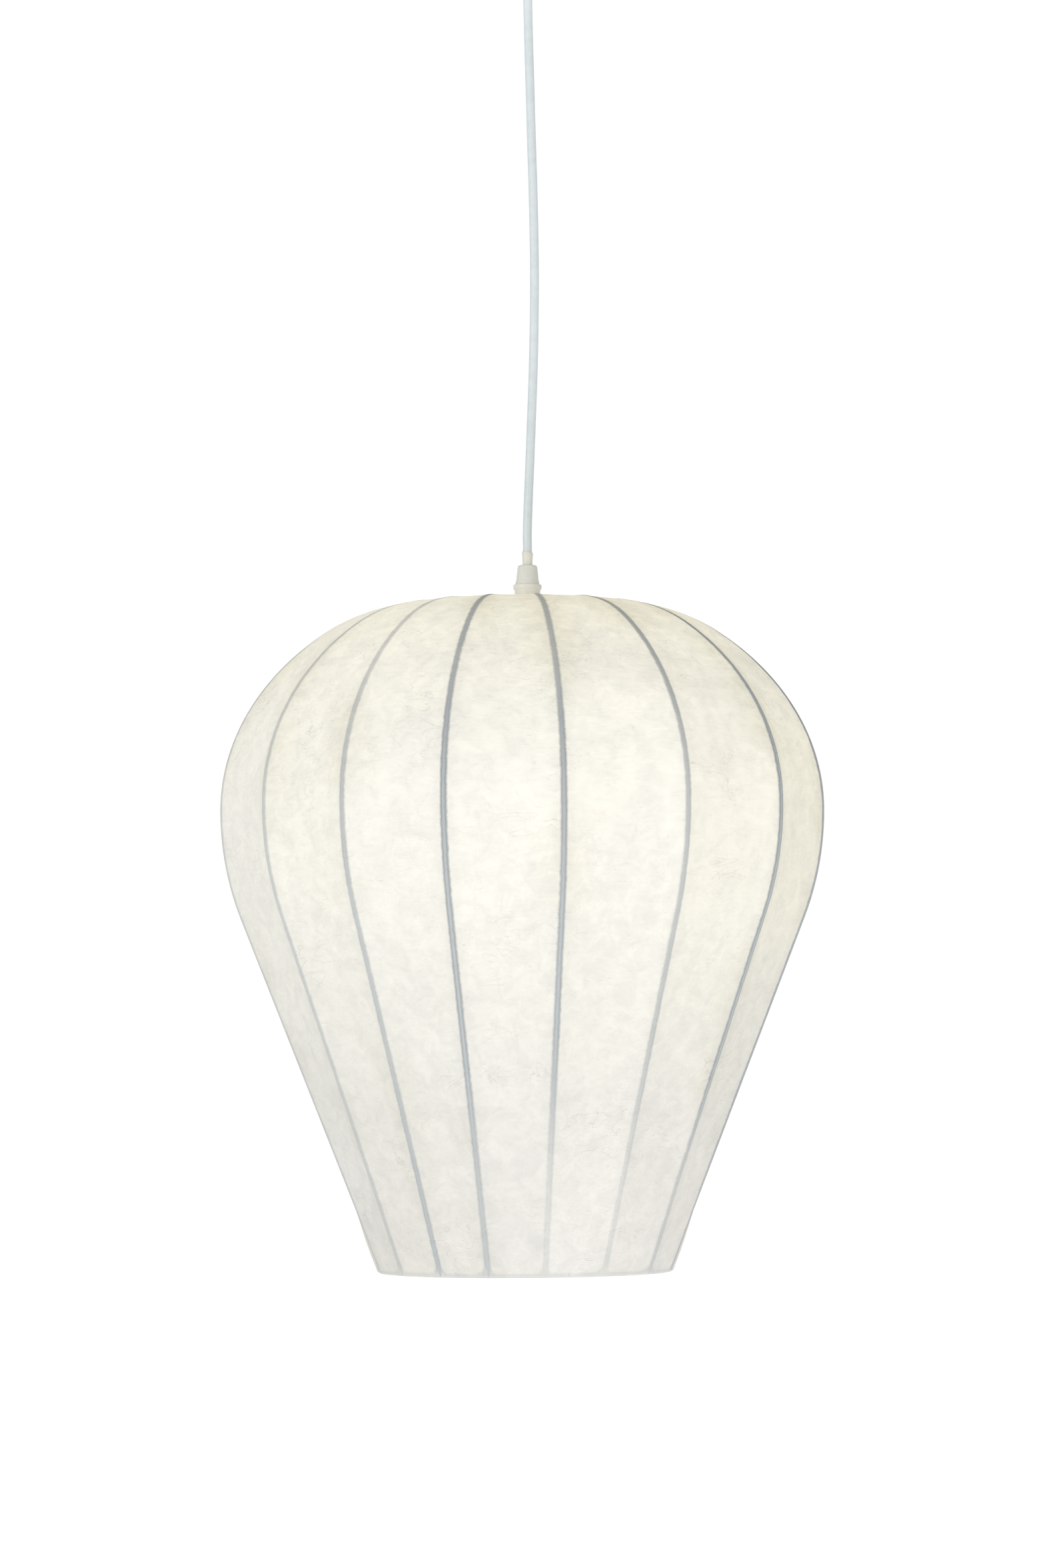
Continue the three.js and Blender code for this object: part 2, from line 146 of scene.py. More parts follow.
def makeFloor():
    mesh = bpy.data.meshes.new("floor")
    half, z = view["floorHalf"], view["floorHeight"]
    mesh.from_pydata([(-half, -half, z), (half, -half, z), (half, half, z), (-half, half, z)],
                     [], [(0, 1, 2, 3)])
    floor = newObject("floor", mesh)
    mat = bpy.data.materials.new("pale_floor")
    mat.use_nodes = True
    shader = mat.node_tree.nodes["Principled BSDF"]
    fill(shader, Base_Color=(0.9, 0.9, 0.9, 1), Roughness=0.8,
         Emission_Color=(1, 1, 1, 1), Emission_Strength=1.0)
    mesh.materials.append(mat)
    floor.visible_diffuse = False
    floor.visible_glossy = False
    floor.visible_shadow = False


scene.view_settings.view_transform = "Standard"
makeCamera()
makeSky()
for lamp in ("key", "fill", "lowFill"):
    areaLight(lamp, *studio[lamp])
makeFloor()
print("camera, sky and lamps ready")


def newFinish(name):
    mat = bpy.data.materials.new(name)
    mat.use_nodes = True
    tree = mat.node_tree
    shader = tree.nodes["Principled BSDF"]
    return mat, tree, shader


def noiseAt(tree, vector, scale, detail=3, rough=0.55, stretch=None, warp=0.0):
    if stretch:
        mapping = addNode(tree, "ShaderNodeMapping")
        mapping.inputs["Scale"].default_value = stretch
        tree.links.new(vector, mapping.inputs["Vector"])
        vector = mapping.outputs[0]
    tex = fill(addNode(tree, "ShaderNodeTexNoise"), Scale=scale, Detail=detail,
               Roughness=rough, Distortion=warp)
    tree.links.new(vector, tex.inputs["Vector"])
    return tex.outputs["Fac"]


def mathNode(tree, operation, a, b=None, clamp=False):
    node = addNode(tree, "ShaderNodeMath", operation=operation, use_clamp=clamp)
    for socket, value in ((node.inputs[0], a), (node.inputs[1], b)):
        if value is None:
            continue
        if isinstance(value, (int, float)):
            socket.default_value = value
        else:
            tree.links.new(value, socket)
    return node.outputs[0]


def rangeNode(tree, value, low, high, toLow=0.0, toHigh=1.0, smooth=True):
    kind = "SMOOTHSTEP" if smooth else "LINEAR"
    node = fill(addNode(tree, "ShaderNodeMapRange", interpolation_type=kind),
                From_Min=low, From_Max=high, To_Min=toLow, To_Max=toHigh)
    tree.links.new(value, node.inputs["Value"])
    return node.outputs[0]


def mixColour(tree, factor, a, b, blend="MIX"):
    node = addNode(tree, "ShaderNodeMix", data_type="RGBA", blend_type=blend)
    for socket, value in ((node.inputs[0], factor), (node.inputs[6], a), (node.inputs[7], b)):
        if isinstance(value, (int, float)):
            socket.default_value = value
        elif isinstance(value, tuple):
            socket.default_value = (*value, 1)
        else:
            tree.links.new(value, socket)
    return node.outputs[2]


def bump(tree, shader, height, distance, strength=1.0):
    node = fill(addNode(tree, "ShaderNodeBump"), Strength=strength, Distance=distance)
    tree.links.new(height, node.inputs["Height"])
    tree.links.new(node.outputs[0], shader.inputs["Normal"])


def objectCoords(tree):
    return addNode(tree, "ShaderNodeTexCoord").outputs["Object"]


def attribute(tree, name):
    return addNode(tree, "ShaderNodeAttribute", attribute_name=name).outputs["Fac"]


paperLook = {
    "bare": (0.505, 0.528, 0.528),       # what the unlit paper throws back
    "bareDeep": (0.455, 0.475, 0.475),
    "ribShadowColour": (0.40, 0.42, 0.425),     # painted shadow of a wire in the paper's own colour
    "ribHighlightColour": (0.515, 0.545, 0.565),    # painted highlight along the middle of a wire
    # lamp light through the paper, by height
    "glowTints": [(-0.92, (1.0, 0.89, 0.80)), (-0.76, (1.0, 0.90, 0.71)),
                  (-0.62, (1.0, 0.925, 0.79)), (-0.53, (1.0, 0.93, 0.77)),
                  (-0.48, (1.0, 0.925, 0.70))],
    "glow": 0.52,
    "feltWarms": 0.35,
    "feltTint": (1.0, 0.99, 0.93),       # thick felt passes warmer light; the warmer tints beside the wires and on the bays right of the front are painted shade
    "ribSideShadeTint": (1.0, 0.985, 0.90),
    "warmBayTint": (1.0, 0.975, 0.84),
    # how much each kind of mark changes the light that comes through
    "swings": {"clouds": 0.22, "felt": 0.30, "grain": 0.15, "streaks": 0.21},
    "darkens": {"hairs": 0.14, "creases": 0.18},
    "domeMarks": 1.45,                   # and how much more over the dome
    "domeSpan": (-0.64, -0.52),
    # painted shade beside the wires: how much it dims the lamp's light, and how far from a wire it
    # reaches
    "ribSideShadeDepth": 0.09,
    "ribSideShadeReach": (0.003, 0.028),
    # the wire's shadow, as distances from its middle
    "shadowCore": 0.0009,
    "shadowEdge": 0.0030,
    "fray": 0.0014,
    "halo": 0.011,
    "haloDepth": 0.10,
    # the painted highlight along a wire's middle: full out to the first distance, gone at the
    # second
    "ribHighlight": (0.0003, 0.0012),
    "roughness": 0.82,
    "specular": 0.25,
    "sheen": 0.06,
    "relief": 0.0006,
}


def paperFinish():
    look = paperLook
    mat, tree, shader = newFinish("silk_paper")
    at = objectCoords(tree)
    cloth = addNode(tree, "ShaderNodeUVMap", uv_map="cloth").outputs[0]
    height = addNode(tree, "ShaderNodeSeparateXYZ")
    tree.links.new(at, height.inputs[0])
    height = height.outputs["Z"]

    def times(a, b, clamp=False):
        return mathNode(tree, "MULTIPLY", a, b, clamp)

    def plus(a, b, clamp=False):
        return mathNode(tree, "ADD", a, b, clamp)

    def minus(a, b, clamp=False):
        return mathNode(tree, "SUBTRACT", a, b, clamp)

    def swing(value, amount):
        return times(minus(value, 0.5), amount)

    def wisps(stretch, warp, width, patch, low, high):
        # long fibres and creases: thin lines where a warped noise crosses its middle, in patches
        drift = noiseAt(tree, cloth, 1, 2, 0.5, stretch=stretch, warp=warp)
        ridge = mathNode(tree, "ABSOLUTE", minus(drift, 0.5))
        line = rangeNode(tree, ridge, 0.0, width, 1.0, 0.0)
        return times(line, rangeNode(tree, noiseAt(tree, at, patch, 3, 0.6), low, high))

    marks = {
        "clouds": noiseAt(tree, at, 20, detail=3, rough=0.55),
        "felt": noiseAt(tree, at, 85, detail=5, rough=0.68, warp=0.6),
        "grain": noiseAt(tree, cloth, 1, detail=3, rough=0.65, stretch=(330, 520, 1), warp=0.6),
        "streaks": noiseAt(tree, cloth, 1, detail=4, rough=0.62, stretch=(60, 240, 1), warp=1.2),
        "hairs": wisps((75, 150, 1), warp=2.4, width=0.022, patch=60, low=0.45, high=0.62),
        "creases": wisps((24, 52, 1), warp=1.8, width=0.009, patch=26, low=0.5, high=0.66),
    }
    tone = 1.0
    for name, amount in look["swings"].items():
        tone = plus(tone, swing(marks[name], amount))
    for name, amount in look["darkens"].items():
        tone = minus(tone, times(marks[name], amount))
    strength = rangeNode(tree, height, *look["domeSpan"], 1.0, look["domeMarks"])
    tone = times(plus(times(minus(tone, 1.0), strength), 1.0), attribute(tree, "bayTone"))

    # painted shade: the lamp's light dimmed and warmed in patches beside the wires
    near = attribute(tree, "wireNear")
    ribSideShade = times(rangeNode(tree, near, *look["ribSideShadeReach"], 1.0, 0.0),
                   rangeNode(tree, noiseAt(tree, at, 9, 2, 0.5), 0.46, 0.6))
    tone = minus(tone, times(ribSideShade, look["ribSideShadeDepth"]))

    # the wire behind the paper holds the lamp's light back, with a soft frayed edge
    frayed = plus(near, swing(noiseAt(tree, at, 260, 3, 0.6), look["fray"]))
    clear = rangeNode(tree, frayed, look["shadowCore"], look["shadowEdge"])
    halo = rangeNode(tree, near, 0.0, look["halo"], look["haloDepth"], 0.0)
    core = plus(minus(1.0, clear), halo)
    held = attribute(tree, "wireShade")
    share = minus(1.0, times(core, held), clamp=True)
    glow = times(times(attribute(tree, "lampGlow"), share), tone)
    tree.links.new(times(glow, look["glow"]), shader.inputs["Emission Strength"])

    tints = look["glowTints"]
    low, high = tints[0][0], tints[-1][0]
    ramp = addNode(tree, "ShaderNodeValToRGB")
    ramp.color_ramp.interpolation = "B_SPLINE"
    stops = ramp.color_ramp.elements
    while len(stops) < len(tints):
        stops.new(0.5)
    for stop, (z, colour) in zip(stops, tints):
        stop.position = (z - low) / (high - low)
        stop.color = (*colour, 1)
    tree.links.new(rangeNode(tree, height, low, high, smooth=False), ramp.inputs["Fac"])
    tint = ramp.outputs["Color"]
    warm = times(rangeNode(tree, marks["felt"], 0.32, 0.68), look["feltWarms"])
    for amount, colour in ((warm, "feltTint"), (ribSideShade, "ribSideShadeTint"),
                           (attribute(tree, "bayWarm"), "warmBayTint")):
        tint = mixColour(tree, amount, tint, look[colour], blend="MULTIPLY")
    tree.links.new(tint, shader.inputs["Emission Color"])

    bare = mixColour(tree, rangeNode(tree, marks["felt"], 0.3, 0.7), look["bareDeep"],
                     look["bare"])
    # the crease and fibre lines darker in the base colour
    creaseAndFibreDarkening = plus(times(marks["creases"], 0.6), times(marks["hairs"], 0.3), clamp=True)
    # painted shadow: the base colour darkened where the wire's shadow falls
    ribShadowMask = times(core, rangeNode(tree, held, 0.85, 1.25), clamp=True)
    # painted highlight along the wire's middle
    ribHighlight = times(rangeNode(tree, frayed, *look["ribHighlight"], 1.0, 0.0), held, clamp=True)
    for amount, colour in ((creaseAndFibreDarkening, "bareDeep"), (ribShadowMask, "ribShadowColour"), (ribHighlight, "ribHighlightColour")):
        bare = mixColour(tree, amount, bare, look[colour])
    tree.links.new(bare, shader.inputs["Base Color"])
    fill(shader, Roughness=look["roughness"], Specular_IOR_Level=look["specular"],
         Sheen_Weight=look["sheen"])
    relief = plus(plus(times(marks["felt"], 0.6), marks["streaks"]), times(marks["grain"], 0.4))
    relief = minus(relief, times(marks["creases"], 0.8))
    bump(tree, shader, relief, look["relief"], 0.5)
    return mat


def plainFinish(name, colour, darker, roughness, metal=0.0, speckle=300, relief=0.00004,
                spread=0.06, coat=0.0, glow=0.0, glowColour=(1, 1, 1)):
    # a moulded, turned or lacquered surface: fine mottling, uneven gloss and a faint relief
    mat, tree, shader = newFinish(name)
    at = objectCoords(tree)
    fine = noiseAt(tree, at, speckle, 4, 0.6)
    broad = noiseAt(tree, at, speckle * 0.11, 2, 0.5)
    mottle = mathNode(tree, "MULTIPLY", fine, broad)
    tree.links.new(mixColour(tree, rangeNode(tree, mottle, 0.12, 0.4), darker, colour),
                   shader.inputs["Base Color"])
    tree.links.new(rangeNode(tree, fine, 0.3, 0.7, roughness - spread, roughness + spread),
                   shader.inputs["Roughness"])
    shader.inputs["Metallic"].default_value = metal
    shader.inputs["Coat Weight"].default_value = coat
    if glow:
        shader.inputs["Emission Color"].default_value = (*glowColour, 1)
        tree.links.new(rangeNode(tree, broad, 0.3, 0.7, glow * 0.96, glow),
                       shader.inputs["Emission Strength"])
    bump(tree, shader, fine, relief)
    return mat


def flexFinish():
    # satin sheath with the faint lengthwise drag marks of extrusion and a little surface dust
    mat, tree, shader = newFinish("pvc_flex")
    at = objectCoords(tree)
    drag = noiseAt(tree, at, 1, 3, 0.6, stretch=(900, 900, 14))
    dust = noiseAt(tree, at, 160, 4, 0.65)
    colour = mixColour(tree, rangeNode(tree, dust, 0.35, 0.7), (0.80, 0.87, 0.90),
                       (0.75, 0.82, 0.84))
    tree.links.new(colour, shader.inputs["Base Color"])
    tree.links.new(rangeNode(tree, drag, 0.3, 0.7, 0.34, 0.46), shader.inputs["Roughness"])
    bump(tree, shader, mathNode(tree, "ADD", drag, dust), 0.00005)
    return mat


finishes = {
    "paper": paperFinish(),
    "wire": plainFinish("lacquered_wire", (0.80, 0.82, 0.83), (0.70, 0.72, 0.73), 0.42),
    "flex": flexFinish(),
    "sleeve": plainFinish("sleeve_plastic", (0.92, 0.905, 0.81), (0.895, 0.88, 0.785), 0.44),
    "holder_plastic": plainFinish("holder_plastic", (0.91, 0.915, 0.86), (0.893, 0.898, 0.845),
                                  0.40, speckle=420),
    # the collar's own creamier plastic, painted lighter as well, standing in for the lantern's
    # light falling on it
    "collar_plastic": plainFinish("collar_plastic", (0.98, 0.965, 0.87), (0.96, 0.945, 0.85),
                                  0.42, speckle=420),
    "rubber": plainFinish("bush_rubber", (0.62, 0.62, 0.58), (0.54, 0.54, 0.51), 0.75,
                          relief=0.00008),
    "steel": plainFinish("zinc_steel", (0.66, 0.67, 0.69), (0.52, 0.53, 0.56), 0.34, metal=1.0,
                         speckle=180),
    "brass": plainFinish("stamped_brass", (0.80, 0.64, 0.34), (0.62, 0.47, 0.24), 0.30,
                         metal=1.0),
    "ceramic": plainFinish("insulating_ceramic", (0.88, 0.87, 0.83), (0.82, 0.81, 0.77), 0.28,
                           coat=0.3),
    "lamp_plastic": plainFinish("lamp_plastic", (0.88, 0.88, 0.86), (0.83, 0.83, 0.81), 0.33,
                                coat=0.15),
    "insulator": plainFinish("black_insulator", (0.02, 0.02, 0.022), (0.035, 0.035, 0.04), 0.16,
                             coat=0.5),
    "opal": plainFinish("opal_diffuser", (0.82, 0.80, 0.75), (0.79, 0.77, 0.72), 0.32,
                        glow=0.6, glowColour=(1.0, 0.94, 0.80)),
    "core_brown": plainFinish("brown_core", (0.17, 0.07, 0.03), (0.12, 0.05, 0.02), 0.38),
    "core_blue": plainFinish("blue_core", (0.03, 0.13, 0.40), (0.02, 0.09, 0.30), 0.38),
}
print("finishes ready:", len(finishes))


def newPiece(name, points, faces, edges=()):
    mesh = bpy.data.meshes.new(name)
    mesh.from_pydata([tuple(p) for p in points], edges, faces)
    mesh.update()
    return newObject(name, mesh)


def fromBmesh(name, bm, axis=None):
    mesh = bpy.data.meshes.new(name)
    bm.to_mesh(mesh)
    bm.free()
    if axis:
        mesh.transform(axis)
    return newObject(name, mesh)


def roundCurve(name, radius, resolution):
    data = bpy.data.curves.new(name, "CURVE")
    data.dimensions = "3D"
    data.bevel_depth = radius
    data.bevel_resolution = resolution
    data.use_fill_caps = True
    return data


def plainMesh(piece):
    # the piece's mesh with all that is live on it applied
    dg = bpy.context.evaluated_depsgraph_get()
    return bpy.data.meshes.new_from_object(piece.evaluated_get(dg))


def easeEdges(piece, width, angle):
    easing = piece.modifiers.new("edge", "BEVEL")
    easing.width = width
    easing.segments = 2
    easing.limit_method = "ANGLE"
    easing.angle_limit = math.radians(angle)


def cutBy(piece, cutter):
    gap = piece.modifiers.new("cut", "BOOLEAN")
    gap.object = cutter
    gap.solver = "EXACT"


def settle(piece, body, slot, stands=(), sharp=None, finish=None):
    # applies what is live on a piece, gives it its finish and hangs it on its body
    mesh = plainMesh(piece)
    piece.modifiers.clear()
    piece.data = mesh
    mesh.name = piece.name
    mesh.materials.clear()
    mesh.materials.append(finishes[finish or slot])
    for face in mesh.polygons:
        face.use_smooth = True
        face.material_index = 0
    if sharp:
        mesh.set_sharp_from_angle(angle=math.radians(sharp))
    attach(piece, body)
    if stands:
        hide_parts(*stands)
    return piece


def turned(name, outline, sides=72, axis=None, edge=0.00025, shape=None):
    # a piece turned about Z from an outline of (radius, height) pairs, run up the outside
    # and down the inside; shape(turn, radius, height) may change a radius, as a thread does
    bm = bmesh.new()
    rings = []
    for r, z in outline:
        if r < 1e-7:
            rings.append([bm.verts.new((0, 0, z))])
            continue
        ring = []
        for i in range(sides):
            turn = 2 * math.pi * i / sides
            rr = shape(turn, r, z) if shape else r
            ring.append(bm.verts.new((rr * math.cos(turn), rr * math.sin(turn), z)))
        rings.append(ring)
    for low, high in zip(rings, rings[1:] + rings[:1]):
        if len(low) == 1 and len(high) == 1:
            continue
        for i in range(sides):
            j = (i + 1) % sides
            if len(low) == 1:
                bm.faces.new((low[0], high[j], high[i]))
            elif len(high) == 1:
                bm.faces.new((low[i], low[j], high[0]))
            else:
                bm.faces.new((low[i], low[j], high[j], high[i]))
    bmesh.ops.recalc_face_normals(bm, faces=bm.faces)
    piece = fromBmesh(name, bm, axis)
    if edge:
        easeEdges(piece, edge, 28)
    return piece


def arc(cx, cz, radius, start, end, steps):
    # points of an arc in an outline, in degrees, 0 outwards and 90 up
    points = []
    for i in range(steps + 1):
        a = math.radians(start + (end - start) * i / steps)
        points.append((max(cx + radius * math.cos(a), 0.0), cz + radius * math.sin(a)))
    return points


def rounded(points, steps):
    # a smooth line through the points
    out = []
    for k in range(len(points) - 1):
        p0, p1 = points[max(k - 1, 0)], points[k]
        p2, p3 = points[k + 1], points[min(k + 2, len(points) - 1)]
        for s in range(steps):
            t = s / steps
            out.append(tuple(
                0.5 * (2 * b + (c - a) * t + (2 * a - 5 * b + 4 * c - d) * t * t
                       + (3 * b - a - 3 * c + d) * t ** 3)
                for a, b, c, d in zip(p0, p1, p2, p3)))
    return out + [points[-1]]


def boxOf(node):
    low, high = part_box(node)
    return {"low": low.z, "high": high.z, "r": max(high.x, -low.x), "z": (low.z + high.z) / 2}


def spanOf(node):
    # a solid's lowest and highest z, and how far it reaches from the axis
    at = boxOf(node)
    return at["low"], at["high"], at["r"]


def repeatTree():
    # stands a piece at every point of the input, turned by the point's own "turn" attribute;
    # edges in the piece are first swept into round wire
    tree = bpy.data.node_groups.new("repeatRound", "GeometryNodeTree")
    face = tree.interface
    for name, kind in (("Geometry", "Geometry"), ("Piece", "Object"), ("Wire Radius", "Float"),
                       ("Wire Sides", "Int"), ("Is Wire", "Bool"), ("Finish", "Material")):
        face.new_socket(name, in_out="INPUT", socket_type="NodeSocket" + kind)
    face.new_socket("Geometry", in_out="OUTPUT", socket_type="NodeSocketGeometry")
    start = addNode(tree, "NodeGroupInput")
    end = addNode(tree, "NodeGroupOutput")
    source = addNode(tree, "GeometryNodeObjectInfo")
    line = addNode(tree, "GeometryNodeMeshToCurve")
    section = addNode(tree, "GeometryNodeCurvePrimitiveCircle")
    sweep = fill(addNode(tree, "GeometryNodeCurveToMesh"), Fill_Caps=True)
    choose = addNode(tree, "GeometryNodeSwitch", input_type="GEOMETRY")
    turn = fill(addNode(tree, "GeometryNodeInputNamedAttribute", data_type="FLOAT"), Name="turn")
    spin = addNode(tree, "ShaderNodeCombineXYZ")
    stand = addNode(tree, "GeometryNodeInstanceOnPoints")
    real = addNode(tree, "GeometryNodeRealizeInstances")
    smooth = addNode(tree, "GeometryNodeSetShadeSmooth")
    coat = addNode(tree, "GeometryNodeSetMaterial")
    for giver, given, taker, taken in (
            (start, "Piece", source, "Object"), (source, "Geometry", line, 0),
            (start, "Wire Radius", section, "Radius"),
            (start, "Wire Sides", section, "Resolution"),
            (line, 0, sweep, "Curve"), (section, 0, sweep, "Profile Curve"),
            (start, "Is Wire", choose, "Switch"), (source, "Geometry", choose, "False"),
            (sweep, 0, choose, "True"), (turn, "Attribute", spin, "Z"),
            (start, "Geometry", stand, "Points"), (choose, 0, stand, "Instance"),
            (spin, 0, stand, "Rotation"), (stand, 0, real, 0), (real, 0, smooth, "Geometry"),
            (smooth, 0, coat, "Geometry"), (start, "Finish", coat, "Material"),
            (coat, 0, end, 0)):
        tree.links.new(giver.outputs[given], taker.inputs[taken])
    return tree


roundTree = repeatTree()


def repeated(name, piece, turns, slot, wireRadius=0.0, wireSides=12):
    # one mesh of a piece, or of an edge line swept to wire, at each turn about Z
    base = newPiece(name, [(0, 0, 0)] * len(turns), [])
    spin = base.data.attributes.new("turn", "FLOAT", "POINT")
    spin.data.foreach_set("value", turns)
    modifier = base.modifiers.new("round", "NODES")
    modifier.node_group = roundTree
    values = {"Piece": piece, "Wire Radius": wireRadius, "Wire Sides": wireSides,
              "Is Wire": wireRadius > 0, "Finish": finishes[slot]}
    for item in roundTree.interface.items_tree:
        if item.in_out == "INPUT" and item.name in values:
            modifier[item.identifier] = values[item.name]
    mesh = plainMesh(base)
    base.modifiers.clear()
    base.data = mesh
    bpy.data.objects.remove(piece)
    return base


flex = {
    "radius": 0.003,
    # sideways and height, from the rose down: it hangs with a slight set to the right
    "route": [
        (0, -0.0504), (0.00005, -0.058), (0.0002, -0.070), (0.0005, -0.085), (0.001, -0.105),
        (0.0016, -0.125), (0.0022, -0.148), (0.0029, -0.172), (0.0037, -0.198),
        (0.0043, -0.225), (0.0047, -0.252), (0.0046, -0.280), (0.0042, -0.306),
        (0.0035, -0.332), (0.0026, -0.356), (0.0018, -0.378), (0.001, -0.398),
        (0.0003, -0.416), (-0.0001, -0.431), (0, -0.442), (0, -0.452), (0, -0.461),
    ],
    "length": 0.411,
    "sleeveWall": 0.0003,
    "sleeveSkew": 0.0012,   # how far askew the sleeve's end is cut
}


def makeFlex():
    data = roundCurve("flex_sheath", flex["radius"], 8)
    data.resolution_u = 6
    line = data.splines.new("BEZIER")
    line.bezier_points.add(len(flex["route"]) - 1)
    for point, (x, z) in zip(line.bezier_points, flex["route"]):
        point.co = (x, 0, z)
        point.handle_left_type = point.handle_right_type = "AUTO"
    piece = newObject("flex_sheath", data)
    data.materials.append(finishes["flex"])
    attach(piece, "flex")
    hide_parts("pendant_flex")
    return piece


flexPiece = makeFlex()


def makeSleeve():
    # a short plastic sleeve, cut a little askew and flared where it was pushed on
    low, top, _ = spanOf("flex_sleeve")
    low -= 0.0004
    r, wall = flex["radius"], flex["sleeveWall"]
    outline = [(r + 0.00005, low), (r + wall, low), (r + wall + 0.00005, low + 0.003),
               (r + wall + 0.00025, top - 0.003), (r + wall + 0.0004, top - 0.0003),
               (r + wall + 0.0003, top), (r + 0.0002, top)]
    piece = turned("cord_sleeve", outline, 48, edge=0.00008)
    for v in piece.data.vertices:
        rise = (v.co.z - low) / (top - low)
        v.co.z -= flex["sleeveSkew"] * rise * (0.5 + v.co.x / (2 * (r + 0.001)))
    return settle(piece, "flex", "sleeve", ["flex_sleeve"], 40)


sleeve = makeSleeve()
print("flex and sleeve made")


shade = {
    "crownZ": -0.4805,
    "rimZ": -0.920,
    "equatorR": 0.2025,
    "equatorZ": -0.6184,
    "domeHeight": 0.1563,
    "bellyR": 0.192,
    "taper": math.radians(21.75),
    "shoulderR": 0.132,
    "crownR": 0.075,
    "crownDip": 0.0020,   # how far the shoulder's last bend lies under the crown
    "ringR": 0.071,       # top ring's middle line
    "ringDrop": 0.0033,   # how far it lies under the crown
    "hemWrap": 0.0027,    # the hem's radius round the rim ring
    "bayHollow": 0.012,
    "lineStep": 0.0042,   # spacing of the mesh's rows
    "ringReach": 0.070,   # how far the rim ring keeps the paper round, and the crown's
    "crownReach": 0.045,
    "paper": 0.0004,
    "crownLift": 0.0006,  # the ribs' welded tips lift the crown a little
    "liftR": 0.077,
    "liftWide": (0.0045, 0.008),
    "crownSag": 0.0002,   # and it sags between them
    # slack creases, coarse to fine, which die out beside the ribs
    "creases": [(16, 0.0007), (47, 0.00028), (110, 0.00012)],
    "creaseFade": 0.012,
    # the lamp's light by height: where each change begins and ends, and its size
    "lampLevel": 1.04,
    "lampSteps": [(-0.60, -0.54, 0.04), (-0.55, -0.485, 0.07), (-0.585, -0.84, -0.36)],
    "bellyDip": 0.04,
    # how much light each bay passes, from the one right of the front rib, turning right; the lower
    # values of the bays at either side, as seen from the front, are painted shade
    "bayTones": [1.04, 1.01, 0.85, 0.82, 0.94, 1.0, 0.97, 1.02, 0.98, 0.95, 1.0, 0.84, 0.81,
                 0.92, 0.96, 1.0],
    # how strongly each rib shades the paper at the crown, the belly and the rim
    "ribShades": [(0.75, 1.05, 0.35), (0.80, 0.75, 0.35), (0.90, 1.30, 0.60), (1.2, 1.40, 0.95),
                  (0.90, 1.0, 0.70), (0.85, 0.90, 0.80), (1.0, 1.05, 0.60), (0.90, 0.85, 0.80),
                  (0.85, 1.05, 0.70), (0.95, 0.90, 0.50), (0.80, 1.0, 0.80), (0.90, 0.85, 0.70),
                  (0.60, 0.60, 0.60), (0.55, 0.65, 0.60), (0.50, 0.80, 0.95), (0.80, 1.15, 0.80)],
    "ribSpread": {2: 1.1, 3: 1.35, 12: 1.2},  # ribs whose shadows are wider than the rest
    "rimTones": {0: 1.05, 15: 0.97},          # bays that pass more or less light at the rim; the first bay's lighter rim is painted light
    "bayWarmths": {1: 0.35, 2: 1.0, 3: 0.8, 7: 0.6, 10: 0.5, 13: 0.25},   # bays whose lamp light is tinted warmer; on the bays right of the front it is painted shade
    "hemShade": 0.30,
    "hoopShade": 0.85,
}


def smoothstep(x, low, high):
    t = min(max((x - low) / (high - low), 0.0), 1.0)
    return t * t * (3 - 2 * t)


def middleOf(node):
    low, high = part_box(node)
    return (low + high) / 2


# the shade is set a little off its hub and leans; both rings' middles say how
topMiddle, rimMiddle = middleOf("top_ring"), middleOf("rim_ring")
lean = math.atan2(rimMiddle.x - topMiddle.x, topMiddle.z - rimMiddle.z)
shadeFrame = (Matrix.Translation(topMiddle) @ Matrix.Rotation(-lean, 4, "Y")
              @ Matrix.Translation((0, 0, -topMiddle.z)))


def ribTurns():
    # each rib's turn to the right of the front, read from its own solid
    upright = shadeFrame.inverted()
    turns = []
    for i in range(1, 17):
        spots = [upright @ v.co for v in nodes[f"rib_{i:02d}"].data.vertices]
        turn = math.atan2(sum(p.x for p in spots), -sum(p.y for p in spots))
        turns.append(turn if turn > 0 or not turns else turn + 2 * math.pi)
    return turns


turns = ribTurns()
crownZ, rimZ, equatorZ = shade["crownZ"], shade["rimZ"], shade["equatorZ"]
bellyX = shade["equatorR"] - shade["bellyR"]
taperTop = (bellyX + shade["bellyR"] * math.cos(shade["taper"]),
            equatorZ - shade["bellyR"] * math.sin(shade["taper"]))
rimR = taperTop[0] - (taperTop[1] - rimZ) * math.tan(shade["taper"])


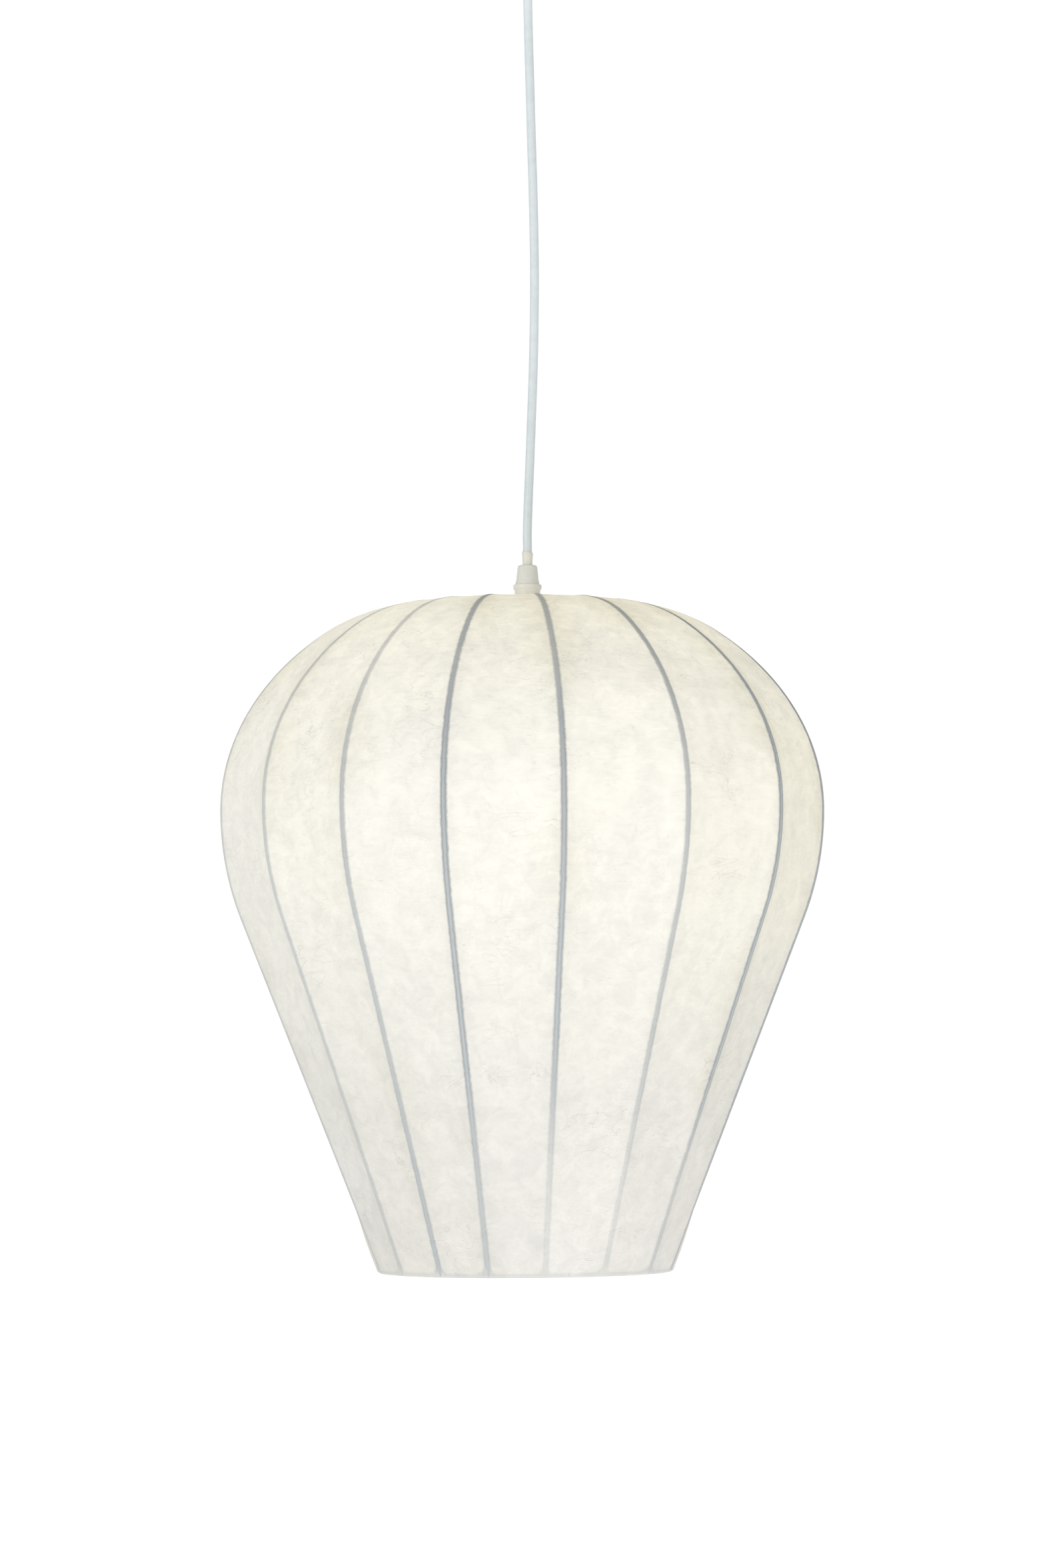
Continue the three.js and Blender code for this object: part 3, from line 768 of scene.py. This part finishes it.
def skinLine():
    # the paper's outer line in a rib's plane, as (radius, height), from its tucked end
    # inside the rim to the one inside the crown, with the rim ring's middle
    rough = []
    wrap, bellyR = shade["hemWrap"], shade["bellyR"]
    domeR, domeHeight = shade["equatorR"], shade["domeHeight"]
    ringZ = rimZ + wrap + 0.0001
    ringX = rimR + (ringZ - rimZ) * math.tan(shade["taper"]) - wrap / math.cos(shade["taper"])
    for i in range(3, 0, -1):
        rough.append((ringX - wrap + i * 0.0011, ringZ + i * 0.0026))
    for i in range(17):
        a = -math.pi + (math.pi - shade["taper"]) * i / 16
        rough.append((ringX + wrap * math.cos(a), ringZ + wrap * math.sin(a)))
    x0, z0 = rough[-1]
    for i in range(1, 41):
        rough.append((x0 + (taperTop[0] - x0) * i / 40, z0 + (taperTop[1] - z0) * i / 40))
    for i in range(1, 13):
        a = -shade["taper"] * (1 - i / 12)
        rough.append((bellyX + bellyR * math.cos(a), equatorZ + bellyR * math.sin(a)))
    domeEnd = math.acos(shade["shoulderR"] / domeR)
    for i in range(1, 31):
        a = domeEnd * i / 30
        rough.append((domeR * math.cos(a), equatorZ + domeHeight * math.sin(a)))
    endR, endZ = rough[-1]
    slope = domeHeight / domeR / math.tan(domeEnd)
    cornerZ = crownZ - shade["crownDip"]
    cornerR = endR - (cornerZ - endZ) / slope
    for i in range(1, 17):
        t = i / 16
        s = 1 - t
        rough.append((s * s * endR + 2 * s * t * cornerR + t * t * shade["crownR"],
                      s * s * endZ + 2 * s * t * cornerZ + t * t * crownZ))
    drop = shade["ringDrop"]
    for i in range(15):
        a = math.radians(90 + 145 * i / 14)
        rough.append((shade["ringR"] + drop * math.cos(a), crownZ - drop + drop * math.sin(a)))
    return rough, (ringX, ringZ)


def evenLine(rough, step):
    # the same line with points no further apart than step, keeping its tight bends
    points = [rough[0]]
    for (x0, z0), (x1, z1) in zip(rough, rough[1:]):
        count = max(1, round(math.hypot(x1 - x0, z1 - z0) / step))
        for i in range(1, count + 1):
            points.append((x0 + (x1 - x0) * i / count, z0 + (z1 - z0) * i / count))
    return points


def slack(z):
    # 0 where the paper lies round on a ring, 1 where it is drawn flat between ribs
    fromRim = smoothstep(z, rimZ + 0.007, rimZ + shade["ringReach"])
    fromCrown = 1 - smoothstep(z, crownZ - shade["crownReach"], crownZ - 0.001)
    return fromRim * fromCrown


def lampReach(z):
    # the lamp's light on the paper: level round the dome, less down the cone
    level = shade["lampLevel"]
    for low, high, size in shade["lampSteps"]:
        level += size * smoothstep(z, low, high)
    return level * (1 - shade["bellyDip"] * math.exp(-((z + 0.68) / 0.05) ** 2))


def ribShade(rib, z):
    # how strongly a rib shades the paper, by height
    crown, belly, rim = shade["ribShades"][rib % 16]
    value = belly + (crown - belly) * smoothstep(z, -0.62, -0.52)
    return value + (rim - value) * smoothstep(-z, 0.76, 0.88)


def toneOf(bay, z):
    # the bays differ most at the belly
    tone = 1 + (shade["bayTones"][bay % 16] - 1) * (1 - 0.7 * smoothstep(z, -0.63, -0.54))
    atRim = shade["rimTones"].get(bay % 16, 1.0)
    return tone * (1 + (atRim - 1) * smoothstep(-z, 0.80, 0.86))


def warmthOf(bay, z):
    # a bay's warmer tint shows most round the belly
    fade = (1 - 0.7 * smoothstep(-z, 0.68, 0.76)) * (1 - 0.8 * smoothstep(z, -0.60, -0.53))
    return shade["bayWarmths"].get(bay % 16, 0.0) * fade


bayStops = [0, 0.013, 0.032, 0.065, 0.13, 0.22, 0.33, 0.44, 0.56, 0.67, 0.78, 0.87, 0.935,
            0.968, 0.987]


def towards(turn):
    return Vector((math.sin(turn), -math.cos(turn)))


def skinPoint(line, j, bay, u, rimRing):
    # one point of the paper, u of the way across a bay, with what its finish needs to know
    r, z = line[j]
    x0, z0 = line[max(j - 1, 0)]
    x1, z1 = line[min(j + 1, len(line) - 1)]
    length = math.hypot(x1 - x0, z1 - z0)
    nr, nz = (z1 - z0) / length, -(x1 - x0) / length
    left, right = turns[bay], turns[(bay + 1) % 16] + (2 * math.pi if bay == 15 else 0)
    turn = left + (right - left) * u
    start, end, ray = towards(left), towards(right), towards(turn)
    loose = slack(z)
    flat = (start * (1 - u) + end * u) * (1 - shade["bayHollow"] * 4 * u * (1 - u))
    spot = ray.lerp(flat, loose) * r
    side = min(abs(spot.x * start.y - spot.y * start.x), abs(spot.x * end.y - spot.y * end.x))

    crown = smoothstep(z, crownZ - 0.012, crownZ - 0.0005)
    liftSide, liftIn = shade["liftWide"]
    lift = math.exp(-(side / liftSide) ** 2) * math.exp(-((r - shade["liftR"]) / liftIn) ** 2)
    height = z + crown * (shade["crownLift"] * lift - shade["crownSag"] * 4 * u * (1 - u))
    place = Vector((spot.x, spot.y, z * 1.6))
    quiet = min(side / shade["creaseFade"], 1.0) * max(loose, 0.25)
    push = quiet * sum(size * noise.noise(place * fine) for fine, size in shade["creases"])
    out = ray * nr
    point = (spot.x + out.x * push, spot.y + out.y * push, height + nz * push)

    # how near the nearest wire lies, a rib's or a ring's, and how strongly it shades
    rib = (bay if u < 0.5 else bay + 1) % 16
    shadow = side / shade["ribSpread"].get(rib, 1.0)
    onRim = max(z - rimRing[1] + 0.0019, 0.0) if z < crownZ - 0.1 else 1.0
    onCrown = max(math.hypot(r - shade["ringR"], z - crownZ + shade["ringDrop"]) - 0.0031, 0.0)
    held = {shadow: ribShade(rib, z), onRim: shade["hemShade"], onCrown: shade["hoopShade"]}
    near = min(held)
    # a bay's tone and warmth run into the next one's over the rib
    beyond = bay - 1 if u < 0.5 else bay + 1
    share = 0.5 + 0.5 * smoothstep(min(u, 1 - u), 0.0, 0.05)
    marks = {"wireNear": near, "wireShade": held[near], "lampGlow": lampReach(z),
             "bayTone": toneOf(bay, z) * share + toneOf(beyond, z) * (1 - share),
             "bayWarm": warmthOf(bay, z) * share + warmthOf(beyond, z) * (1 - share)}
    return point, marks, shade["equatorR"] * turn


def makeSkin():
    rough, rimRing = skinLine()
    line = evenLine(rough, shade["lineStep"])
    along = [0.0]
    for (x0, z0), (x1, z1) in zip(line, line[1:]):
        along.append(along[-1] + math.hypot(x1 - x0, z1 - z0))
    made = [skinPoint(line, j, bay, u, rimRing)
            for j in range(len(line)) for bay in range(16) for u in bayStops]
    columns = 16 * len(bayStops)
    faces = []
    for j in range(len(line) - 1):
        for c in range(columns):
            d = (c + 1) % columns
            faces.append((j * columns + c, j * columns + d, (j + 1) * columns + d,
                          (j + 1) * columns + c))
    skin = newPiece("silk_skin", [point for point, _, _ in made], faces)
    mesh = skin.data
    for name in made[0][1]:
        values = [marks[name] for _, marks, _ in made]
        mesh.attributes.new(name, "FLOAT", "POINT").data.foreach_set("value", values)
    uv = mesh.uv_layers.new(name="cloth")
    whole = shade["equatorR"] * 2 * math.pi
    for face in mesh.polygons:
        seam = max(mesh.loops[k].vertex_index % columns for k in face.loop_indices) == columns - 1
        for k in face.loop_indices:
            v = mesh.loops[k].vertex_index
            across = made[v][2] + (whole if seam and v % columns == 0 else 0)
            uv.data[k].uv = (across, along[v // columns])
    mesh.transform(shadeFrame)
    wall = skin.modifiers.new("wall", "SOLIDIFY")
    wall.thickness = shade["paper"]
    wall.offset = -1
    settle(skin, "lantern", "paper", ["paper_skin"])
    area = sum(f.area for f in mesh.polygons)
    print("paper:", len(made), "points,", round(area, 4), "square metres")
    return skin


skin = makeSkin()


wire = {"ribR": 0.0015, "ringR": 0.0019, "weldR": 0.0021, "rimRingBelow": 0.0012, "spokes": 4}
tubeBore = boxOf("hub_nipple")["r"] + 0.0002   # clears the threaded tube


def makeRibs():
    # one rib's line just inside the paper, swept and repeated at every rib's own turn
    rough, rimRing = skinLine()
    inset = shade["paper"] + 0.0001 + wire["ribR"]
    line = []
    for k in range(1, len(rough) - 1):
        (r0, z0), (r1, z1) = rough[k - 1], rough[k + 1]
        length = math.hypot(r1 - r0, z1 - z0)
        r, z = rough[k]
        spot = (r - (z1 - z0) / length * inset, z + (r1 - r0) / length * inset)
        # the hem and the crown's wrap lie round the rings, past the rib's ends
        if spot[1] > rimRing[1] + 0.004 and spot[0] > shade["ringR"] + 0.0035 and k > 20:
            line.append(spot)
    line.insert(0, (rimRing[0] + 0.0008, rimRing[1] + wire["rimRingBelow"]))
    line.append((shade["ringR"] + 0.0018, line[-1][1] - 0.0003))
    rib = newPiece("rib_line", [(0, -r, z) for r, z in line], [],
                   edges=[(k, k + 1) for k in range(len(line) - 1)])
    ribs = repeated("wire_ribs", rib, turns, "wire", wire["ribR"], 12)
    ribs.data.transform(shadeFrame)
    settle(ribs, "lantern", "wire", [f"rib_{i:02d}" for i in range(1, 17)])

    def bead(name, r, z):
        bm = bmesh.new()
        bmesh.ops.create_icosphere(bm, subdivisions=2, radius=wire["weldR"])
        for v in bm.verts:
            v.co = (v.co.x * 1.15, -r + v.co.y, z + v.co.z * 0.9)
        return fromBmesh(name, bm)

    for name, (r, z) in (("top_welds", line[-1]), ("rim_welds", line[0])):
        welds = repeated(name, bead(name + "_one", r, z - 0.0004), turns, "wire")
        welds.data.transform(shadeFrame)
        settle(welds, "lantern", "wire")


def makeRing(name, node, radius, height):
    outline = arc(radius, height, wire["ringR"], -180, 165, 23)
    ring = turned(name, outline, 144, axis=shadeFrame, edge=0)
    settle(ring, "lantern", "wire", [node])


def makeHub():
    # a pressed washer with a rolled edge, and four spokes welded under the top ring
    low, high, r = spanOf("hub_washer")
    outline = [(tubeBore, low), (r - 0.003, low), (r - 0.0014, low - 0.0005), (r, low),
               (r, high), (r - 0.0014, high - 0.0004), (r - 0.003, high), (0.0125, high),
               (0.0115, high + 0.0003), (tubeBore, high + 0.0003)]
    settle(turned("hub_plate", outline, 96, edge=0.0003), "lantern", "wire", ["hub_washer"], 35)
    data = roundCurve("hub_spokes", wire["ribR"], 5)
    for k in range(wire["spokes"]):
        turn = math.pi / 4 + k * math.pi / 2
        away = towards(turn).to_3d()
        outer = shadeFrame @ (away * (shade["ringR"] - 0.0012) + Vector((0, 0, (low + high) / 2)))
        inner = away * (r - 0.0045) + Vector((0, 0, high + wire["ribR"] * 0.7))
        step = away * (r + 0.003) + Vector((0, 0, high + wire["ribR"] * 0.6))
        line = data.splines.new("POLY")
        line.points.add(2)
        for point, spot in zip(line.points, (inner, step, outer)):
            point.co = (*spot, 1)
    curved = newObject("hub_spokes", data)
    mesh = plainMesh(curved)
    bpy.data.objects.remove(curved)
    settle(newObject("hub_spokes", mesh), "lantern", "wire",
           [f"spoke_{k + 1}" for k in range(wire["spokes"])], 50)


makeRibs()
makeRing("top_hoop", "top_ring", shade["ringR"], crownZ - shade["ringDrop"])
makeRing("rim_hoop", "rim_ring", *skinLine()[1])
makeHub()
print("wire frame made")


grip = {"ridges": 54, "ridgeHigh": 0.00013, "ridgeWide": 0.00034, "tubePitch": 0.001,
        "tubeThread": 0.00012}


def makeGrip():
    low, top, _ = spanOf("grip_cap")
    low -= 0.0002
    bore = flex["radius"] + 0.00015
    shoulder = [(0.0064 - 0.0010 * (1 - math.cos(math.radians(a))),
                 top - 0.0010 * (1 - math.sin(math.radians(a)))) for a in range(0, 91, 15)]
    outline = [(bore, low), (0.0079, low), (0.0080, low + 0.0009), (0.00775, low + 0.0020),
               (0.0073, low + 0.0034), (0.0073, low + 0.0036)] + shoulder + \
              [(0.0048, top), (0.0044, top - 0.0006), (bore, top - 0.0008)]
    settle(turned("cord_cap", outline, 96, edge=0.00012), "lantern", "holder_plastic",
           ["grip_cap"], 40)
    # one moulded ridge up the cap's side, repeated round it
    start, end = (0.0073, low + 0.0038), (0.00643, top - 0.0011)
    half = grip["ridgeWide"] / 2
    points, faces = [], []
    for k in range(6):
        t = k / 5
        r = start[0] + (end[0] - start[0]) * t - 0.00002
        z = start[1] + (end[1] - start[1]) * t
        rise = grip["ridgeHigh"] * min(1, 6 * t, 6 * (1 - t))
        points += [(-half, -r, z), (-half * 0.5, -r - rise, z), (half * 0.5, -r - rise, z),
                   (half, -r, z)]
    for k in range(5):
        for c in range(3):
            a = 4 * k + c
            faces.append((a + 4, a + 5, a + 1, a))
    evenTurns = [2 * math.pi * i / grip["ridges"] for i in range(grip["ridges"])]
    ridge = newPiece("cap_ridge", points, faces)
    ridges = repeated("cap_ridges", ridge, evenTurns, "holder_plastic")
    settle(ridges, "lantern", "holder_plastic")


def makeCollar():
    low, top, _ = spanOf("neck_collar")
    outline = [(tubeBore, low), (0.0081, low), (0.0083, low + 0.006), (0.0085, top - 0.0040),
               (0.0088, top - 0.0031), (0.0093, top - 0.0026), (0.0094, top - 0.0022),
               (0.0094, top - 0.0005), (0.0092, top), (0.0081, top), (0.0079, top - 0.0003),
               (tubeBore, top - 0.0003)]
    settle(turned("neck_sleeve", outline, 96, edge=0.00015), "lantern", "holder_plastic",
           ["neck_collar"], 40, finish="collar_plastic")


def makeTube():
    # the threaded tube, its outline fine enough for the thread
    low, top, _ = spanOf("hub_nipple")
    step = grip["tubePitch"] / 4
    rows = int((top - low - 0.0008) / step)
    outline = [(0.0036, low), (0.0048, low)]
    outline += [(0.00495, low + 0.0004 + step * k) for k in range(rows)]
    outline += [(0.0048, top), (0.0036, top)]

    def thread(turn, r, z):
        wave = grip["tubeThread"] * math.sin(2 * math.pi * z / grip["tubePitch"] - turn)
        return r + (wave if r > 0.0045 else 0)

    settle(turned("hub_tube", outline, 40, edge=0, shape=thread), "lantern", "brass",
           ["hub_nipple"])


holder = {"flutes": 30, "fluteDepth": 0.00035, "threadPitch": 0.003629}


def makeHolder():
    low, top, r = spanOf("holder_cap")
    bowl = [(0.0095 + (r - 0.0095) * math.sin(math.radians(a)),
             top - 0.018 * (1 - math.cos(math.radians(a)))) for a in range(0, 91, 9)]
    under = [(0.0075 + (r - 0.0095) * math.sin(math.radians(a)),
              top - 0.002 - 0.018 * (1 - math.cos(math.radians(a)))) for a in range(90, -1, -10)]
    outline = [(tubeBore, top)] + bowl + \
              [(r, low + 0.0005), (r - 0.0004, low), (r - 0.002, low)] + under + \
              [(tubeBore, top - 0.002)]
    settle(turned("holder_dome", outline, 96, edge=0.0003), "lantern", "holder_plastic",
           ["holder_cap"], 35)
    low, top, _ = spanOf("holder_body")
    bore = r - 0.0034
    side = [(r - 0.0014, top - 0.006 - (top - low - 0.0085) * k / 12) for k in range(13)]
    outline = [(bore, low), (r - 0.0019, low), (r - 0.0014, low + 0.0005),
               (r - 0.0014, low + 0.0015)] + side[::-1] + \
              [(r - 0.0003, top - 0.005), (r, top - 0.0045), (r, top - 0.0006),
               (r - 0.0006, top), (bore, top)]

    def flutes(turn, radius, z):
        inside = abs(radius - (r - 0.0014)) < 1e-5 and low + 0.003 < z < top - 0.0075
        wave = max(math.cos(holder["flutes"] * turn), 0.0)
        return radius + (holder["fluteDepth"] * wave if inside else 0)

    settle(turned("holder_skirt", outline, 240, edge=0, shape=flutes), "lantern",
           "holder_plastic", ["holder_body"], 45)
    low, top, r = spanOf("holder_insert")
    outline = [(0, low), (r, low), (r, top - 0.0035), (r - 0.0008, top - 0.003),
               (r - 0.0053, top - 0.003), (r - 0.0053, top), (0, top)]
    settle(turned("holder_core", outline, 72, edge=0.0003), "lantern", "ceramic",
           ["holder_insert"], 35)


def threaded(name, node, body, r0, r1, depth, rows, replaced):
    # a rolled-thread shell between two radii, its groove a right-handed helix
    low, top, _ = spanOf(node)
    span = top - low
    outer = [(r1, low + span * k / rows) for k in range(rows + 1)]
    inner = [(r0, low + span * k / rows) for k in range(rows, -1, -1)]

    def thread(turn, r, z):
        fade = smoothstep(z, low + 0.0008, low + 0.0025) * \
            (1 - smoothstep(z, top - 0.0035, top - 0.0015))
        wave = math.sin(2 * math.pi * z / holder["threadPitch"] - turn)
        return r + depth * wave * fade

    settle(turned(name, outer + inner, 72, edge=0, shape=thread), body, "brass", replaced, 60)


def makeLamp():
    threaded("socket_thread", "screw_shell", "lantern", 0.01385, 0.01425, 0.00035, 64,
             ["screw_shell"])
    low, top, r = spanOf("lamp_foot_contact")
    outline = [(0, low), (r, low), (r, top - 0.0011), (0.0044, top - 0.0005),
               (0.0032, top - 0.0001), (0, top)]
    settle(turned("foot_contact", outline, 48, edge=0.0002), "lamp_contact", "brass",
           ["lamp_foot_contact"], 50)
    low, top, _ = spanOf("lamp_insulator")
    outline = [(0, low), (0.0114, low), (0.0112, low + 0.0004), (0.0099, low + 0.0010),
               (0.0085, low + 0.0017), (0.0070, low + 0.0024), (0.0064, top - 0.0001),
               (0.006, top), (0, top)]
    settle(turned("glass_insulator", outline, 64, edge=0.0002), "lamp", "insulator",
           ["lamp_insulator"], 50)
    threaded("cap_thread", "lamp_cap", "lamp", 0.0119, 0.01255, 0.0004, 56, ["lamp_cap"])
    low, top, _ = spanOf("lamp_body")
    rough = [(0.0284, low), (0.02835, low + 0.003), (0.0276, low + 0.008), (0.0252, low + 0.0135),
             (0.0215, low + 0.020), (0.0182, low + 0.0255), (0.0155, top - 0.002),
             (0.0140, top - 0.0006), (0.0132, top)]
    outer = rounded(rough, 5)
    inner = [(r - 0.0017, min(z, top - 0.0001)) for r, z in reversed(outer)]
    settle(turned("lamp_housing", outer + inner, 96, edge=0.0002), "lamp", "lamp_plastic",
           ["lamp_body"], 40)
    low, _, r = spanOf("lamp_dome")
    centre = low + r
    outline = arc(0, centre, r, -90, 22, 30) + arc(0, centre, r - 0.0014, 22, -90, 26)
    settle(turned("lamp_globe", outline, 96, edge=0), "lamp", "opal", ["lamp_dome"], 60)


makeGrip()
makeCollar()
makeTube()
makeHolder()
makeLamp()
print("cord grip, lampholder and lamp made")


rose = {"wall": 0.002, "bore": 0.0083, "screwHoleR": 0.0018, "screwSlot": 0.0008,
        "knurls": 28, "knurlDepth": 0.0002}


def refined(name, node, body, slot, edge=0.0, sharp=35):
    # a CAD solid with its doubles merged and its edges eased
    bm = bmesh.new()
    bm.from_mesh(nodes[node].data)
    bmesh.ops.remove_doubles(bm, verts=bm.verts, dist=1e-6)
    bmesh.ops.dissolve_limit(bm, angle_limit=math.radians(2), verts=bm.verts, edges=bm.edges)
    piece = fromBmesh(name, bm)
    if edge:
        easeEdges(piece, edge, 30)
    settle(piece, body, slot, [node], sharp)


def makeRose():
    low, top, r = spanOf("rose_cover")
    wall, bore = rose["wall"], rose["bore"]
    rough = [(bore, low), (0.020, low), (0.031, low + 0.0004), (0.038, low + 0.0026),
             (0.0432, low + 0.0078), (0.0464, low + 0.0160), (0.0484, low + 0.0290),
             (r, top - 0.0018), (r, top)]
    outer = rounded(rough, 6)
    inner = [(max(x - wall * (0.25 + 0.75 * min((z - low) / 0.012, 1)), bore),
              min(z + wall * (1 - min((z - low) / 0.012, 1)), top))
             for x, z in reversed(outer)]
    cup = turned("rose_cup", outer + inner, 128, edge=0.0002)
    bm = bmesh.new()
    across = Matrix.Translation((0, 0, boxOf("cover_screw_left")["z"])) @ \
        Matrix.Rotation(math.pi / 2, 4, "Y")
    bmesh.ops.create_cone(bm, cap_ends=True, segments=24, radius1=rose["screwHoleR"],
                          radius2=rose["screwHoleR"], depth=0.13, matrix=across)
    hole = fromBmesh("screw_holes", bm)
    cutBy(cup, hole)
    settle(cup, "rose", "holder_plastic", ["rose_cover"], 40)
    bpy.data.objects.remove(hole)


def makeCoverScrews():
    for node, side in (("cover_screw_left", -1), ("cover_screw_right", 1)):
        low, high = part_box(node)
        inner, outer = (low.x, high.x) if side > 0 else (-high.x, -low.x)
        outline = [(0, inner), (0.0015, inner), (0.0015, outer - 0.0020), (0.0030, outer - 0.0020),
                   (0.0030, outer - 0.0012), (0.0027, outer - 0.0006), (0.0018, outer), (0, outer)]
        z = (low.z + high.z) / 2
        lie = Matrix.Translation((0, 0, z)) @ Matrix.Rotation(side * math.pi / 2, 4, "Y")
        screw = turned(node + "_head", outline, 40, axis=lie, edge=0.0001)
        bm = bmesh.new()
        bmesh.ops.create_cube(bm, size=1, matrix=(
            Matrix.Translation((side * outer, 0, z)) @ Matrix.Rotation(0.5, 4, "X")
            @ Matrix.Diagonal((0.0016, rose["screwSlot"], 0.008, 1))))
        blade = fromBmesh("slot_cutter", bm)
        cutBy(screw, blade)
        settle(screw, "rose", "steel", [node], 35)
        bpy.data.objects.remove(blade)


def makeRoseGrip():
    # the nut that grips the flex, and the bush it swings on
    low, top, _ = spanOf("rose_grip")
    flare = [(0.0076, low + 0.0004), (0.0082, low + 0.0012), (0.0094, low + 0.0030),
             (0.0105, low + 0.0075), (0.0110, low + 0.0115)]
    outline = [(0.0056, low), (0.0072, low)] + rounded(flare, 4) + \
              [(0.0080, low + 0.0117), (0.0080, top), (0.0062, top), (0.0062, -0.0504),
               (0.0049, -0.0516)]

    def knurl(turn, r, z):
        grips = low + 0.0020 < z < low + 0.0105 and r > 0.0081
        return r + (rose["knurlDepth"] * math.cos(rose["knurls"] * turn) if grips else 0)

    settle(turned("rose_nut", outline, 168, edge=0.0001, shape=knurl), "rose",
           "holder_plastic", ["rose_grip"], 40)
    low, top, r = spanOf("rose_bush")
    outline = [(0, low), (r - 0.0003, low)] + arc(0, top - 0.0056, 0.0056, 20, 90, 10)
    settle(turned("swing_bush", outline, 48, edge=0.0002), "swivel", "rubber",
           ["rose_bush"], 50)


makeRose()
makeCoverScrews()
makeRoseGrip()
refined("strap_plate", "ceiling_strap", "rose", "steel", 0.0002)
refined("connector_block", "terminal_block", "rose", "ceramic", 0.0003)
refined("terminal_screw_live_head", "terminal_screw_live", "rose", "brass", 0.0002)
refined("terminal_screw_neutral_head", "terminal_screw_neutral", "rose", "brass", 0.0002)
refined("live_core", "core_live", "rose", "core_brown", sharp=60)
refined("neutral_core", "core_neutral", "rose", "core_blue", sharp=60)
refined("sheath_tail", "flex_tail", "rose", "flex", sharp=60)
refined("contact_tongue", "middle_contact", "lantern", "brass", 0.0001)
print("ceiling rose made")

slots = {part["node"]: part["material_slot"] for part in frame["record"]["subparts"]}
for name, node in nodes.items():
    node.data.materials.clear()
    node.data.materials.append(finishes[slots[name]])
